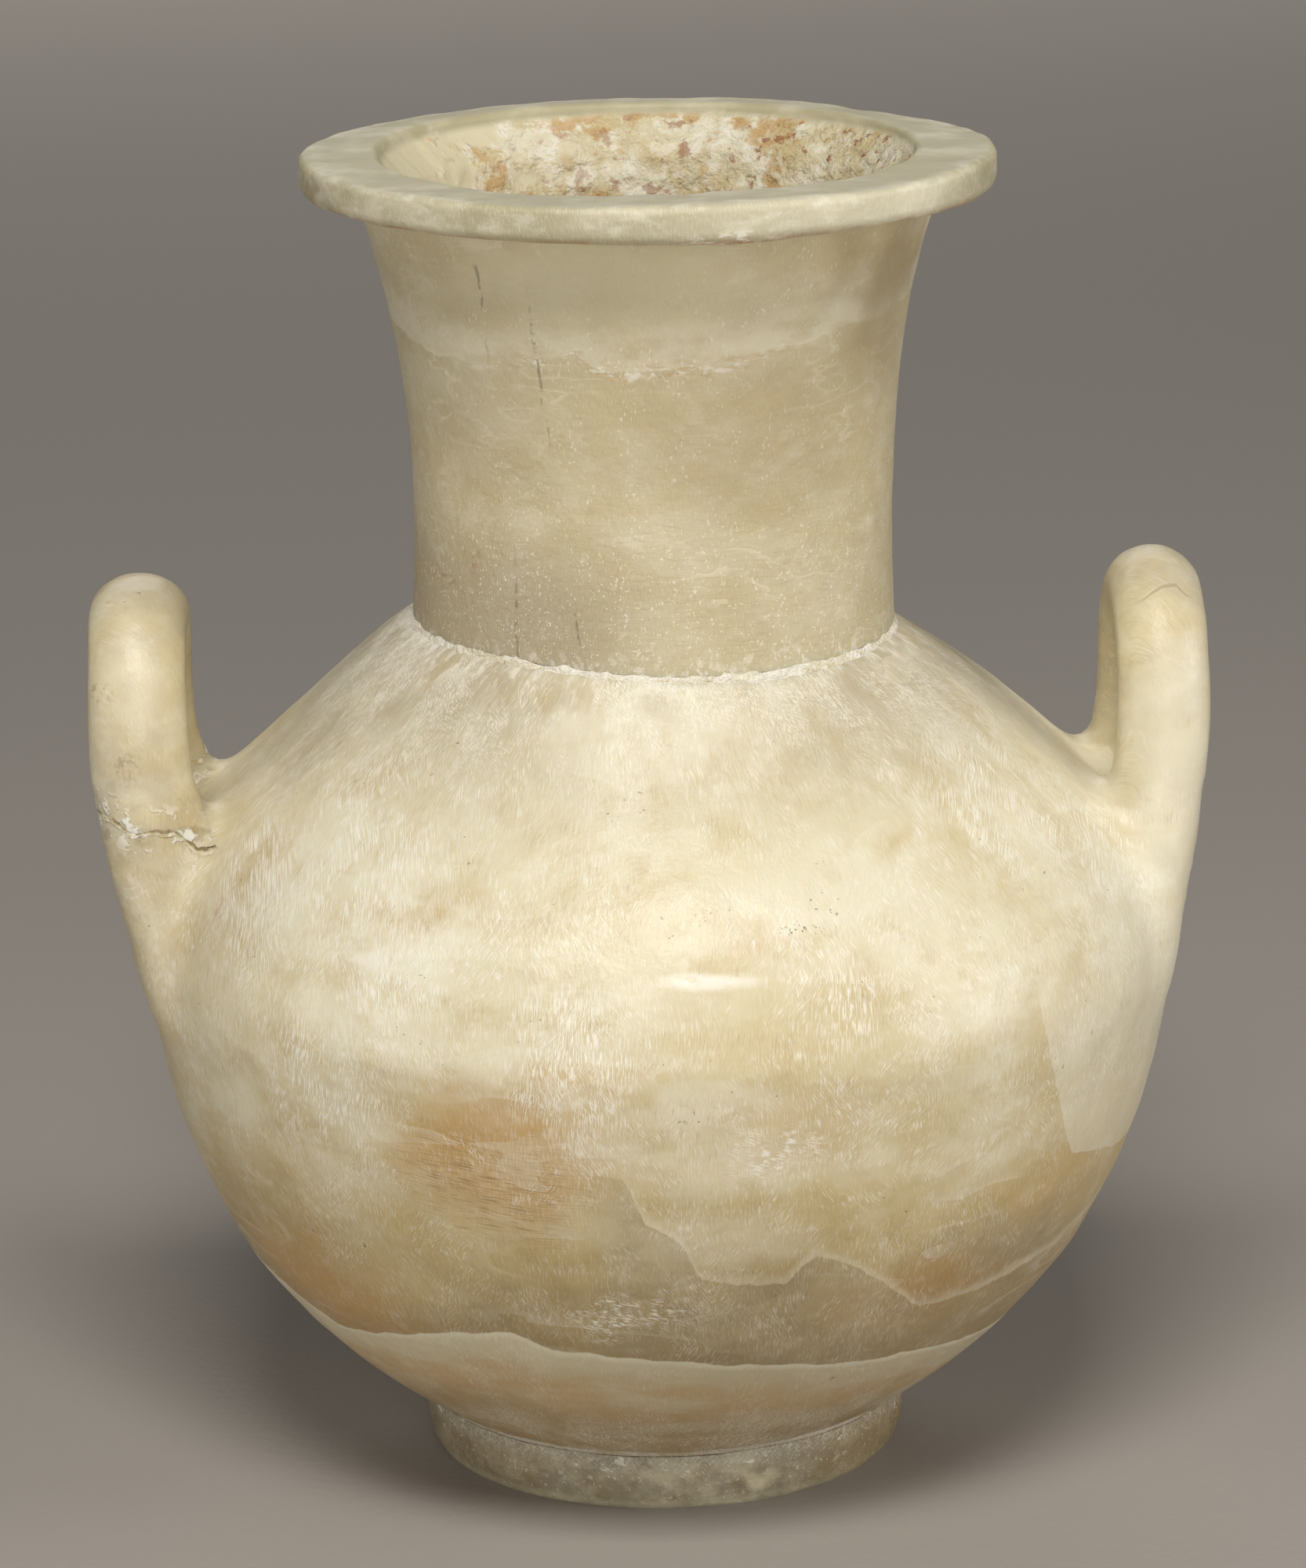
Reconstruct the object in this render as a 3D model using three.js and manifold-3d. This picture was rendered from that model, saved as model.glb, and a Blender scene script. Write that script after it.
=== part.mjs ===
// Stone ointment jar with two loop handles. The round vessel, its neck with the flat rim and its
// foot are three separate carvings, bedded on each other with gypsum. The right handle is of one
// piece with the vessel. The left loop was broken off and is bedded back on its two stumps.
// Millimetres, +Z up. The origin is on the table under the jar's axis, and the handles lie along X.
import * as THREE from 'three';
import { mergeVertices } from 'three/addons/utils/BufferGeometryUtils.js';
import Module from 'manifold-3d';

const wasm = await Module();
wasm.setup();

// Driving dimensions of the foot
const foot_height = 15.6;
const foot_base_radius = 61.8;
const foot_top_radius = 64.6;

// Driving dimensions of the vessel
const body_height = 209.5;
const body_base_radius = 66;
const belly_radius = 136.6;
const belly_height = 121;
const body_wall = 12;
const floor_thickness = 17;
const floor_corner = 8.5;

// Driving dimensions of the neck and its rim
const neck_height = 112.4;
const neck_base_radius = 63.1;
const neck_waist_radius = 62.3;
const neck_waist_height = 21;
const neck_top_radius = 75.2;
const neck_wall = 12.6;
const rim_radius = 89.3;
const rim_thickness = 9.9;
const rim_top_fillet = 3.6;
const rim_under_fillet = 5;
const mouth_radius = 69;
const mouth_fillet = 2.6;

// Driving dimensions of the handles: stand_off is how far the loop's outer face lies outside the
// belly, and crown is the top of the loop above the underside of the vessel
const right_handle = { side: 1, stand_off: 7, width: 24, crown: 225.2 };
const left_handle = { side: -1, stand_off: 11.4, width: 26, crown: 223.4 };
const handle_span = 70;
const handle_bar = 21.5;
const handle_spring_height = 180;
const handle_root_height = 88;

// Gypsum beds between the carvings, and the filled break across each leg of the left loop
const bed_thickness = 1.3;
const neck_bed_overhang = 0.3;
const foot_bed_inset = 0.4;
const seat_ledge = 0.7;
const break_fill_thickness = 1.1;
const mating_clearance = 0.3;
const front_break_height = 163;
const front_break_tilt = THREE.MathUtils.degToRad(16);
const rear_break_height = 163.6;
const rear_break_tilt = THREE.MathUtils.degToRad(-9);

// Vessel profile as [radius share, height share]: up from the base to the belly, where the radius
// share counts from the base radius, and on up to the neck, where it counts back from the belly
const lower_belly_shares = [
  [0, 0],
  [0.237, 0.102],
  [0.42, 0.198],
  [0.564, 0.296],
  [0.68, 0.393],
  [0.837, 0.588],
  [0.937, 0.778],
  [1, 1],
];
const shoulder_shares = [
  [0.007, 0.1],
  [0.055, 0.23],
  [0.139, 0.363],
  [0.269, 0.495],
  [0.445, 0.627],
  [0.628, 0.758],
  [0.825, 0.893],
  [1, 1],
];
const neck_flare_power = 2.4;
const foot_bulge_power = 0.6;
// Each leg below the loop: [drop share, inward share, width share, bar share, splay share]
const leg_shares = [
  [0.09, 0.05, 1.03, 1.04, 0.004],
  [0.22, 0.14, 1.12, 1.2, 0.02],
  [0.36, 0.26, 1.25, 1.45, 0.05],
  [0.54, 0.42, 1.2, 1.8, 0.09],
  [0.71, 0.58, 1, 1.9, 0.12],
  [0.87, 1, 0.7, 1.5, 0.14],
  [1, 1.35, 0.3, 1.1, 0.14],
];
const loop_roundness = 2.4;
const bar_roundness = 2.1;

// Levels up the jar
const foot_bed_level = foot_height;
const body_level = foot_bed_level + bed_thickness;
const belly_level = body_level + belly_height;
const seat_level = body_level + body_height;
const neck_level = seat_level + bed_thickness;
const rim_level = neck_level + neck_height;
const top_level = rim_level + rim_thickness;
const seat_radius = neck_base_radius + seat_ledge;
const neck_bore_radius = neck_base_radius - neck_wall;
const neck_bed_radius = neck_base_radius + neck_bed_overhang;
const foot_bed_radius = foot_top_radius - foot_bed_inset;
const overrun = body_wall;
const weld_distance = 1e-4;

// How finely round forms are cut
const round_steps = 48;
const body_steps = 22;
const neck_steps = 8;
const bore_steps = 4;
const foot_steps = 5;
const bar_sides = 14;
const loop_steps = 7;
const fillet_steps = 3;

const point = (radius, level) => new THREE.Vector2(radius, level);

// Gives a closed geometry whose faces point out, with only positions left
function closed(geometry) {
  geometry.deleteAttribute('normal');
  geometry.deleteAttribute('uv');
  const merged = mergeVertices(geometry, weld_distance);
  const at = merged.getAttribute('position');
  const order = [];
  let volume = 0;
  const corners = [new THREE.Vector3(), new THREE.Vector3(), new THREE.Vector3()];
  for (let i = 0; i < merged.index.count; i += 3) {
    const [a, b, c] = [0, 1, 2].map((k) => merged.index.getX(i + k));
    if (a === b || b === c || c === a) continue;
    [a, b, c].forEach((v, k) => corners[k].fromBufferAttribute(at, v));
    volume += corners[0].dot(corners[1].clone().cross(corners[2]));
    order.push(a, b, c);
  }
  if (volume < 0) order.reverse();
  merged.setIndex(order);
  return merged;
}

// Turns a profile of (radius, level) points round the jar's axis
function turned(profile) {
  return closed(new THREE.LatheGeometry(profile, round_steps).rotateX(Math.PI / 2));
}

// Skins a row of rings, each a list of points, and closes both ends
function lofted(rings) {
  const sides = rings[0].length;
  const points = rings.flat();
  const order = [];
  for (let i = 0; i + 1 < rings.length; i++) {
    for (let j = 0; j < sides; j++) {
      const a = i * sides + j;
      const b = i * sides + (j + 1) % sides;
      order.push(a, b, b + sides, a, b + sides, a + sides);
    }
  }
  for (const [ring, turn] of [[0, 1], [rings.length - 1, 0]]) {
    const centre = points.length;
    const middle = new THREE.Vector3();
    rings[ring].forEach((p) => middle.addScaledVector(p, 1 / sides));
    points.push(middle);
    for (let j = 0; j < sides; j++) {
      const a = ring * sides + j;
      const b = ring * sides + (j + 1) % sides;
      order.push(...(turn ? [centre, b, a] : [centre, a, b]));
    }
  }
  const geometry = new THREE.BufferGeometry().setFromPoints(points);
  geometry.setIndex(order);
  return closed(geometry);
}

function toSolid(geometry) {
  const vertProperties = Float32Array.from(geometry.getAttribute('position').array);
  const triVerts = Uint32Array.from(geometry.index.array);
  return new wasm.Manifold(new wasm.Mesh({ numProp: 3, vertProperties, triVerts }));
}

function toGeometry(solid) {
  const mesh = solid.getMesh();
  const geometry = new THREE.BufferGeometry();
  geometry.setAttribute('position', new THREE.BufferAttribute(Float32Array.from(mesh.vertProperties), 3));
  geometry.setIndex(Array.from(mesh.triVerts));
  return geometry;
}

// Moves a rising profile inward by a wall, or outward where the distance is negative
function offset(profile, distance) {
  return profile.map((p, i) => {
    const before = profile[Math.max(i - 1, 0)];
    const after = profile[Math.min(i + 1, profile.length - 1)];
    const along = after.clone().sub(before).normalize();
    return point(p.x - along.y * distance, p.y + along.x * distance);
  });
}

// A rounded corner: a quarter turn anticlockwise round a centre
function fillet(centre, radius, from) {
  return Array.from({ length: fillet_steps + 1 }, (_, i) => {
    const turn = from + (i / fillet_steps) * (Math.PI / 2);
    return point(centre.x + radius * Math.cos(turn), centre.y + radius * Math.sin(turn));
  });
}

// Outer profile of the vessel, from its underside to the seat of the neck
const lower_belly = lower_belly_shares.map(([out, up]) => point(
  THREE.MathUtils.lerp(body_base_radius, belly_radius, out),
  THREE.MathUtils.lerp(body_level, belly_level, up),
));
const shoulder = shoulder_shares.map(([inward, up]) => point(
  THREE.MathUtils.lerp(belly_radius, seat_radius, inward),
  THREE.MathUtils.lerp(belly_level, seat_level, up),
));
const body_profile = new THREE.SplineCurve([...lower_belly, ...shoulder]).getSpacedPoints(body_steps);

function bodyRadiusAt(level) {
  const above = body_profile.findIndex((p) => p.y >= level);
  const [low, high] = [body_profile[Math.max(above - 1, 0)], body_profile[Math.max(above, 0)]];
  const share = (level - low.y) / Math.max(high.y - low.y, Number.EPSILON);
  return THREE.MathUtils.lerp(low.x, high.x, share);
}

// Closed solid under the vessel's outer surface, and the hollow inside it
function outerSolid(growth) {
  const skin = offset(body_profile, -growth);
  const top = skin[skin.length - 1];
  return toSolid(turned([point(0, body_level), point(skin[0].x, body_level), ...skin.slice(1, -1),
    point(top.x, seat_level), point(0, seat_level)]));
}

function cavitySolid() {
  const floor_level = body_level + floor_thickness;
  const skin = offset(body_profile, body_wall)
    .map((p) => point(Math.max(p.x, neck_bore_radius), p.y))
    .filter((p) => p.y > floor_level && p.y < seat_level);
  return toSolid(turned([point(0, floor_level), point(skin[0].x - floor_corner, floor_level), ...skin,
    point(neck_bore_radius, seat_level + overrun), point(0, seat_level + overrun)]));
}

// One ring of a handle bar: its width lies along X, and its thickness along the outward direction
function barRing(side, middle, outward, half_width, half_bar) {
  return Array.from({ length: bar_sides }, (_, i) => {
    const turn = (i / bar_sides) * 2 * Math.PI;
    const bend = (value) => Math.sign(value) * Math.abs(value) ** (2 / bar_roundness);
    const across = bend(Math.cos(turn)) * half_width;
    const out = bend(Math.sin(turn)) * half_bar;
    const rim = middle.clone().addScaledVector(outward, out);
    return rim.setX(side * (middle.x + across));
  });
}

// A whole handle: a loop that stands on two legs, which spread and sink into the belly
function handleSolid({ side, stand_off, width, crown }) {
  const reach = belly_radius + stand_off;
  const half_bar = handle_bar / 2;
  const half_span = handle_span / 2 - half_bar;
  const spring_level = body_level + handle_spring_height;
  const root_level = body_level + handle_root_height;
  const rise = body_level + crown - half_bar - spring_level;
  const root_y = half_span + leg_shares.at(-1)[4] * handle_span;
  const root_x = Math.sqrt(bodyRadiusAt(root_level) ** 2 - root_y ** 2);
  const leg = leg_shares.map(([drop, inward, width_share, bar_share, splay]) => {
    const half_width = (width * width_share) / 2;
    return {
      middle: new THREE.Vector3(
        THREE.MathUtils.lerp(reach, root_x, inward) - half_width,
        half_span + splay * handle_span,
        THREE.MathUtils.lerp(spring_level, root_level, drop)),
      outward: new THREE.Vector3(0, 1, 0),
      half_width,
      half_bar: half_bar * bar_share,
    };
  });
  const loop = Array.from({ length: loop_steps + 1 }, (_, i) => {
    const turn = (i / loop_steps) * (Math.PI / 2);
    const [c, s] = [Math.cos(turn), Math.sin(turn)];
    const lean = 2 - 2 / loop_roundness;
    const outward = new THREE.Vector3(0, Math.max(c, 0) ** lean / half_span, s ** lean / rise).normalize();
    const y = half_span * Math.max(c, 0) ** (2 / loop_roundness);
    const z = spring_level + rise * s ** (2 / loop_roundness);
    return { middle: new THREE.Vector3(reach - width / 2, y, z), outward, half_width: width / 2, half_bar };
  });
  loop[loop_steps].middle.y = 0;
  loop[loop_steps].outward.set(0, 0, 1);
  const rear = [...leg.reverse(), ...loop];
  const front = rear.slice(0, -1).reverse().map((s) => ({
    ...s,
    middle: s.middle.clone().setY(-s.middle.y),
    outward: s.outward.clone().setY(-s.outward.y),
  }));
  const stations = [...rear, ...front];
  return toSolid(lofted(stations.map((s) => barRing(side, s.middle, s.outward, s.half_width, s.half_bar))));
}

// Everything below a break across one leg of the left loop: front_side is -1 for the near leg and 1
// for the far one, and raise lifts the cut square to the break
function belowBreak(front_side, height, tilt, raise) {
  const reach = belly_radius + left_handle.stand_off;
  const edge = 2 * reach;
  const block = new THREE.BoxGeometry(edge, edge, edge);
  block.translate(0, (front_side * edge) / 2, raise - edge / 2);
  block.rotateY(tilt);
  block.translate(left_handle.width / 2 - reach, 0, body_level + height);
  return toSolid(closed(block));
}

const front_break = [-1, front_break_height, front_break_tilt];
const rear_break = [1, rear_break_height, rear_break_tilt];
const left_whole = handleSolid(left_handle);
const right_whole = handleSolid(right_handle);
const vessel_core = outerSolid(0);
const vessel_clear = outerSolid(mating_clearance);
const cavity = cavitySolid();
const fill_raise = mating_clearance;
const loop_raise = mating_clearance + break_fill_thickness + mating_clearance;
const keptFrom = (cut) => left_whole.intersect(belowBreak(...cut, 0));

const vessel = vessel_core
  .add(right_whole)
  .add(keptFrom(front_break))
  .add(keptFrom(rear_break))
  .subtract(cavity);

const left_loop = left_whole
  .subtract(belowBreak(...front_break, loop_raise))
  .subtract(belowBreak(...rear_break, loop_raise))
  .subtract(vessel_clear);

const breakFill = (cut) => left_whole
  .intersect(belowBreak(...cut, fill_raise + break_fill_thickness))
  .subtract(belowBreak(...cut, fill_raise))
  .subtract(vessel_clear);

// Foot: a low round pedestal with a flat underside and a swelling side
function footProfile() {
  const wall = Array.from({ length: foot_steps + 1 }, (_, i) => {
    const up = i / foot_steps;
    const bulge = (1 - (1 - up) ** 2) ** foot_bulge_power;
    return point(THREE.MathUtils.lerp(foot_base_radius, foot_top_radius, bulge), up * foot_height);
  });
  return [point(0, 0), ...wall, point(0, foot_height)];
}

// Flat gypsum beds between two levels: a full disk and a ring
function diskProfile(outer, low, high) {
  return [point(0, low), point(outer, low), point(outer, high), point(0, high)];
}

function ringProfile(inner, outer, low, high) {
  return [point(inner, low), point(outer, low), point(outer, high), point(inner, high), point(inner, low)];
}

function neckRadiusAt(height) {
  const share = (height - neck_waist_height) / (neck_height - neck_waist_height);
  const toBase = (-share * (neck_height - neck_waist_height)) / neck_waist_height;
  return share >= 0
    ? THREE.MathUtils.lerp(neck_waist_radius, neck_top_radius, share ** neck_flare_power)
    : THREE.MathUtils.lerp(neck_waist_radius, neck_base_radius, toBase ** 2);
}

// Neck: a waisted tube that flares to the underside of a flat round rim
function neckProfile() {
  const outside = Array.from({ length: neck_steps + 1 }, (_, i) => (i / neck_steps) * neck_height)
    .map((height) => point(neckRadiusAt(height), neck_level + height));
  const rim_edge = rim_radius - rim_under_fillet;
  const under = fillet(point(rim_edge, rim_level + rim_under_fillet), rim_under_fillet, -Math.PI / 2);
  const over = fillet(point(rim_radius - rim_top_fillet, top_level - rim_top_fillet), rim_top_fillet, 0);
  const lip = fillet(point(mouth_radius + mouth_fillet, top_level - mouth_fillet), mouth_fillet, Math.PI / 2);
  const inside = Array.from({ length: bore_steps + 1 }, (_, i) => (1 - i / bore_steps) * neck_height)
    .map((height) => point(neckRadiusAt(height) - neck_wall, neck_level + height));
  return [...outside, ...under, ...over, ...lip, ...inside, outside[0].clone()];
}

// Materials
const stone = { roughness: 0.5, metalness: 0 };
const vessel_stone = new THREE.MeshStandardMaterial({ ...stone, color: 0xd8cba4 });
const neck_stone = new THREE.MeshStandardMaterial({ ...stone, color: 0xc9bb96 });
const foot_stone = new THREE.MeshStandardMaterial({ ...stone, color: 0xb3ac93 });
const loop_stone = new THREE.MeshStandardMaterial({ ...stone, color: 0xdccf9f });
const gypsum = new THREE.MeshStandardMaterial({ color: 0xeeeae0, roughness: 0.9, metalness: 0 });

const jar = new THREE.Group();
function add(name, geometry, material) {
  const mesh = new THREE.Mesh(geometry, material);
  mesh.name = name;
  jar.add(mesh);
}

add('foot', turned(footProfile()), foot_stone);
add('foot_bed', turned(diskProfile(foot_bed_radius, foot_bed_level, body_level)), gypsum);
add('vessel', toGeometry(vessel), vessel_stone);
add('neck_bed', turned(ringProfile(neck_bore_radius, neck_bed_radius, seat_level, neck_level)), gypsum);
add('neck', turned(neckProfile()), neck_stone);
add('left_handle_loop', toGeometry(left_loop), loop_stone);
add('front_break_fill', toGeometry(breakFill(front_break)), gypsum);
add('rear_break_fill', toGeometry(breakFill(rear_break)), gypsum);

export default jar;
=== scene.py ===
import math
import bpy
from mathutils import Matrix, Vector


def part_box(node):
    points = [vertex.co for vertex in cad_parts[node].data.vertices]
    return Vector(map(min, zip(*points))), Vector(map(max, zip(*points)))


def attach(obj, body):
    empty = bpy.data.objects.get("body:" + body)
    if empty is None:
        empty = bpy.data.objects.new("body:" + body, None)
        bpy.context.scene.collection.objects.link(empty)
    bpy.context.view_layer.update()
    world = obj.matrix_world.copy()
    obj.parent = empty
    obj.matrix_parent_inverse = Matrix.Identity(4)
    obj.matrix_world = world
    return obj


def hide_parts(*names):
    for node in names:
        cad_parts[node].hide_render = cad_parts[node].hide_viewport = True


bl_info = {
    "name": "Stone Ointment Jar",
    "version": (1, 0, 0),
    "blender": (4, 5, 0),
    "location": "3D View > Sidebar > Stone Jar",
    "description": "Carved travertine ointment jar with loop handles, dressed on its packed frame",
    "category": "Add Mesh",
}

import bmesh
import bpy
from mathutils import Matrix, Vector, noise

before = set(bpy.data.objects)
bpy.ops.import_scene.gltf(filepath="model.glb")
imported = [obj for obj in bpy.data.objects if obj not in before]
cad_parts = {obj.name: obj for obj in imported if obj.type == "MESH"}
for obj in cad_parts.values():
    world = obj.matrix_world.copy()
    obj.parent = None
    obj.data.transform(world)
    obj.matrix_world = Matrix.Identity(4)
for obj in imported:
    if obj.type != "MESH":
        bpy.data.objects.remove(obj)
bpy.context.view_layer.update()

MM = 0.001

# Levels and radii that the frame fixes, in metres
FOOT_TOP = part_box("foot")[1][2]
FOOT_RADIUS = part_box("foot")[1][0]
FOOT_BED_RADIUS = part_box("foot_bed")[1][0]
BODY_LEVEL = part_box("foot_bed")[1][2]
SEAT_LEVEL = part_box("neck_bed")[0][2]
NECK_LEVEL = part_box("neck_bed")[1][2]
NECK_BED_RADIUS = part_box("neck_bed")[1][0]
RIM_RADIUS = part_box("neck")[1][0]
TOP_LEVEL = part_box("neck")[1][2]
BELLY_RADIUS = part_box("vessel")[1][1]
RIGHT_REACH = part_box("vessel")[1][0]
RIGHT_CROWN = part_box("vessel")[1][2]
LEFT_REACH = -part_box("left_handle_loop")[0][0]
LEFT_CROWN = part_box("left_handle_loop")[1][2]

# Vessel profile: [radius share, height share] up from the base to the belly, and on to the neck
LOWER_BELLY_SHARES = [
    (0, 0), (0.237, 0.102), (0.42, 0.198), (0.564, 0.296), (0.68, 0.393), (0.837, 0.588),
    (0.937, 0.778), (1, 1),
]
SHOULDER_SHARES = [
    (0.007, 0.1), (0.055, 0.23), (0.139, 0.363), (0.269, 0.495), (0.445, 0.627), (0.628, 0.758),
    (0.825, 0.893), (1, 1),
]
# Each leg below the loop: [drop, inward, width, bar, splay]
LEG_SHARES = [
    (0.09, 0.05, 1.03, 1.04, 0.004), (0.22, 0.14, 1.12, 1.2, 0.02), (0.36, 0.26, 1.25, 1.45, 0.05),
    (0.54, 0.42, 1.2, 1.8, 0.09), (0.71, 0.58, 1, 1.9, 0.12), (0.87, 1, 0.7, 1.5, 0.14),
    (1, 1.35, 0.3, 1.1, 0.14),
]

# Where the handle legs run into the belly: out to the side, between levels, and over the belly's skin
JUNCTION_OUT = 80 * MM
JUNCTION_LEVELS = (112 * MM, 212 * MM)
JUNCTION_SKIN = (-4 * MM, 11 * MM)

# Lines drawn over the stone: (x, z) in millimetres
NEAR_BREAK = [(-156, 186), (-142, 184), (-137, 181), (-131, 181.5), (-125, 180.5), (-120, 176),
              (-113, 178)]
FAR_BREAK = [(-156, 180), (-113, 187)]
BAND_EDGE = [(-140, 74), (-107, 62), (-87, 53), (-59, 64), (-43, 67), (-33, 63), (-4, 60), (18, 57),
             (42, 53), (62, 51), (83, 45), (140, 30)]
PATCH_EDGE = [(-60, 118), (-30, 121), (-14, 115), (-10, 104), (0, 97), (4, 86), (20, 83), (26, 83.5),
              (30, 88), (33, 90.5), (39, 89), (50, 80), (61, 68), (83, 68), (99, 71), (130, 82)]
TONGUE_EDGE = [(85, 200), (91, 150), (96, 126), (101, 102), (110, 98), (118, 94), (140, 88)]
NECK_VEIN = [(-72, 310), (-66, 308), (-57, 304), (-40, 304), (-28, 307), (-21, 309.5), (-16, 304.5),
             (-2, 304.5), (19, 305), (28, 308), (50, 311), (72, 314)]
HANDLE_CRACK = [(110, 226), (123, 230.7), (130, 235), (132, 235.6), (136, 235.4), (137.5, 233), (145, 230)]

# Cracks of the neck, which run upwards: (z, x) in millimetres
LEFT_CRACK = [(228, -36.7), (267, -37.1), (285, -40), (311, -43.1), (318, -43.7), (328, -44.7),
              (338, -47.6)]
MIDDLE_CRACK = [(228, -21), (246, -22.4), (285, -27.8), (298, -29.5), (325, -32.8), (338, -34)]


def length(name, about, value_mm):
    """A length that a user may change, stored in metres."""
    return bpy.props.FloatProperty(name=name, description=about, default=value_mm * MM,
                                   subtype="DISTANCE", unit="LENGTH", precision=5)


def shade(name, about, value):
    """A colour that a user may change, given as an sRGB hex value."""
    return bpy.props.FloatVectorProperty(name=name, description=about, default=linear(value),
                                         subtype="COLOR", size=4, min=0, max=1)


def linear(value):
    """The linear colour of an sRGB hex value."""
    parts = [int(value[i:i + 2], 16) / 255 for i in (1, 3, 5)]
    turned = [p / 12.92 if p <= 0.04045 else ((p + 0.055) / 1.055) ** 2.4 for p in parts]
    return (*turned, 1.0)


class JarSizes(bpy.types.PropertyGroup):
    """Sizes of the jar that aren't fixed by its frame."""

    foot_base_radius: length("Foot base radius", "Radius of the foot's underside", 61.8)
    base_radius: length("Base radius", "Radius of the vessel where it meets the foot", 66)
    belly_height: length("Belly height", "From the vessel's underside to its widest level", 121)
    seat_radius: length("Seat radius", "Radius of the vessel's top face, under the neck", 63.8)
    wall: length("Wall", "Thickness of the hollowed belly", 12)
    floor: length("Floor", "Thickness of the vessel's floor", 17)
    neck_base_radius: length("Neck base radius", "Outside of the neck at the joint", 63.1)
    neck_waist_radius: length("Neck waist radius", "Outside of the neck at its narrowest", 62.3)
    neck_waist_height: length("Neck waist height", "From the joint to the waist", 21)
    neck_top_radius: length("Neck top radius", "Outside of the neck under the rim", 75.2)
    neck_wall: length("Neck wall", "Thickness of the neck", 12.6)
    rim_thickness: length("Rim thickness", "Height of the rim's edge", 9.9)
    mouth_radius: length("Mouth radius", "Radius of the opening in the rim", 69)
    handle_span: length("Handle span", "Across both legs of a loop, outside", 70)
    handle_bar: length("Handle bar", "Thickness of a loop, seen from the side", 21.5)
    left_width: length("Left loop width", "Width of the left loop, seen from the front", 26)
    right_width: length("Right loop width", "Width of the right loop, seen from the front", 24)
    spring_height: length("Spring height", "From the vessel's underside to where the loops spring", 180)
    root_height: length("Root height", "From the vessel's underside to where the legs sink in", 88)
    carving_voxel: length("Carving voxel", "Grain of the remesh that joins handles to the belly", 2.45)


class JarColours(bpy.types.PropertyGroup):
    """Colours of the stone and its joints, some also used for painted light and shade."""

    # Cream is also painted as light high on the neck's front, where the rim's shadow falls.
    cream: shade("Cream", "Body colour of the travertine", "#dfd6b5")
    # Pale is also painted as light on the front of the shoulder.
    pale: shade("Pale", "Cloudy white bands in the travertine", "#ebe5cd")
    # Tan is also painted as shade on the lower belly and on the belly's left side.
    tan: shade("Tan", "Warm bands in the travertine", "#c8b27e")
    # Amber is also painted as a glow of light through the belly's lower left edge.
    amber: shade("Amber", "Translucent orange patches", "#c2995a")
    # Low is also painted as shade on the lower belly, towards the foot, low on the right, on the foot's sides
    # and on the neck's lower left.
    low: shade("Low", "Brown stone of the lower belly and of worn edges", "#927c54")
    neck: shade("Neck", "Body colour of the neck", "#c9bc96")
    # Grey tan is also painted as shade on the neck's lower left.
    grey: shade("Grey tan", "Greyer stone of the shoulder and neck", "#aea288")
    rim: shade("Rim", "Greyish white stone of the rim", "#aea888")
    # Fleck is also the colour of the painted highlights on the front of the belly.
    fleck_and_highlight: shade("Fleck", "Crystal flecks and scratches", "#f6f2e4")
    foot: shade("Foot", "Grey-green stone of the foot", "#a0977f")
    # Rust is also painted as the shadow line under the flakes at the rim's front.
    rust: shade("Rust", "Iron stains inside the mouth", "#9c5a35")
    dirt: shade("Dirt", "Dirt in cracks and pits", "#5b4a33")
    gypsum: shade("Gypsum", "Chalky bed and filler", "#efeadb")
    floor: shade("Floor", "Studio floor", "#a19b94")


def sizes():
    return bpy.context.scene.jar_sizes


def colours():
    return bpy.context.scene.jar_colours


def smooth_line(points, steps):
    """Points along a Catmull-Rom curve through the given 2D points."""
    ends = [points[0] * 2 - points[1], *points, points[-1] * 2 - points[-2]]
    line = []
    for i in range(1, len(ends) - 2):
        a, b, c, d = ends[i - 1:i + 3]
        for k in range(steps):
            t = k / steps
            line.append(0.5 * (2 * b + (c - a) * t + (2 * a - 5 * b + 4 * c - d) * t ** 2
                               + (3 * b - a - 3 * c + d) * t ** 3))
    return [*line, points[-1]]


def mix(low, high, share):
    return low + (high - low) * share


def between(value, start, end):
    """How far a length in metres has come from one mark in millimetres to another, from 0 to 1."""
    return min(max((value / MM - start) / (end - start), 0), 1)


def ease(share):
    """A share that starts and ends gently."""
    return share * share * (3 - 2 * share)


def from_axis(p):
    """Distance of a point from the jar's axis."""
    return math.hypot(p.x, p.y)


def arc(centre, radius, start, end, steps):
    """Points of an arc in a profile, as (radius, level)."""
    turns = [mix(start, end, i / steps) for i in range(steps + 1)]
    return [centre + Vector((math.cos(t), math.sin(t))) * radius for t in turns]


def body_line():
    """Outer profile of the vessel, from its underside to the neck's seat."""
    s = sizes()
    belly_level = BODY_LEVEL + s.belly_height
    lower = [Vector((mix(s.base_radius, BELLY_RADIUS, out), mix(BODY_LEVEL, belly_level, up)))
             for out, up in LOWER_BELLY_SHARES]
    upper = [Vector((mix(BELLY_RADIUS, s.seat_radius, inward), mix(belly_level, SEAT_LEVEL, up)))
             for inward, up in SHOULDER_SHARES]
    return smooth_line(lower + upper, 5)


def radius_at(line, level):
    """Radius of a rising profile at a level."""
    for low, high in zip(line, line[1:]):
        if low.y <= level <= high.y and high.y > low.y:
            return mix(low.x, high.x, (level - low.y) / (high.y - low.y))
    return line[0].x if level < line[0].y else line[-1].x


def inset_line(line, wall):
    """A profile moved inward by a wall."""
    moved = []
    for i, p in enumerate(line):
        along = (line[min(i + 1, len(line) - 1)] - line[max(i - 1, 0)]).normalized()
        moved.append(Vector((p.x - along.y * wall, p.y + along.x * wall)))
    return moved


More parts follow.
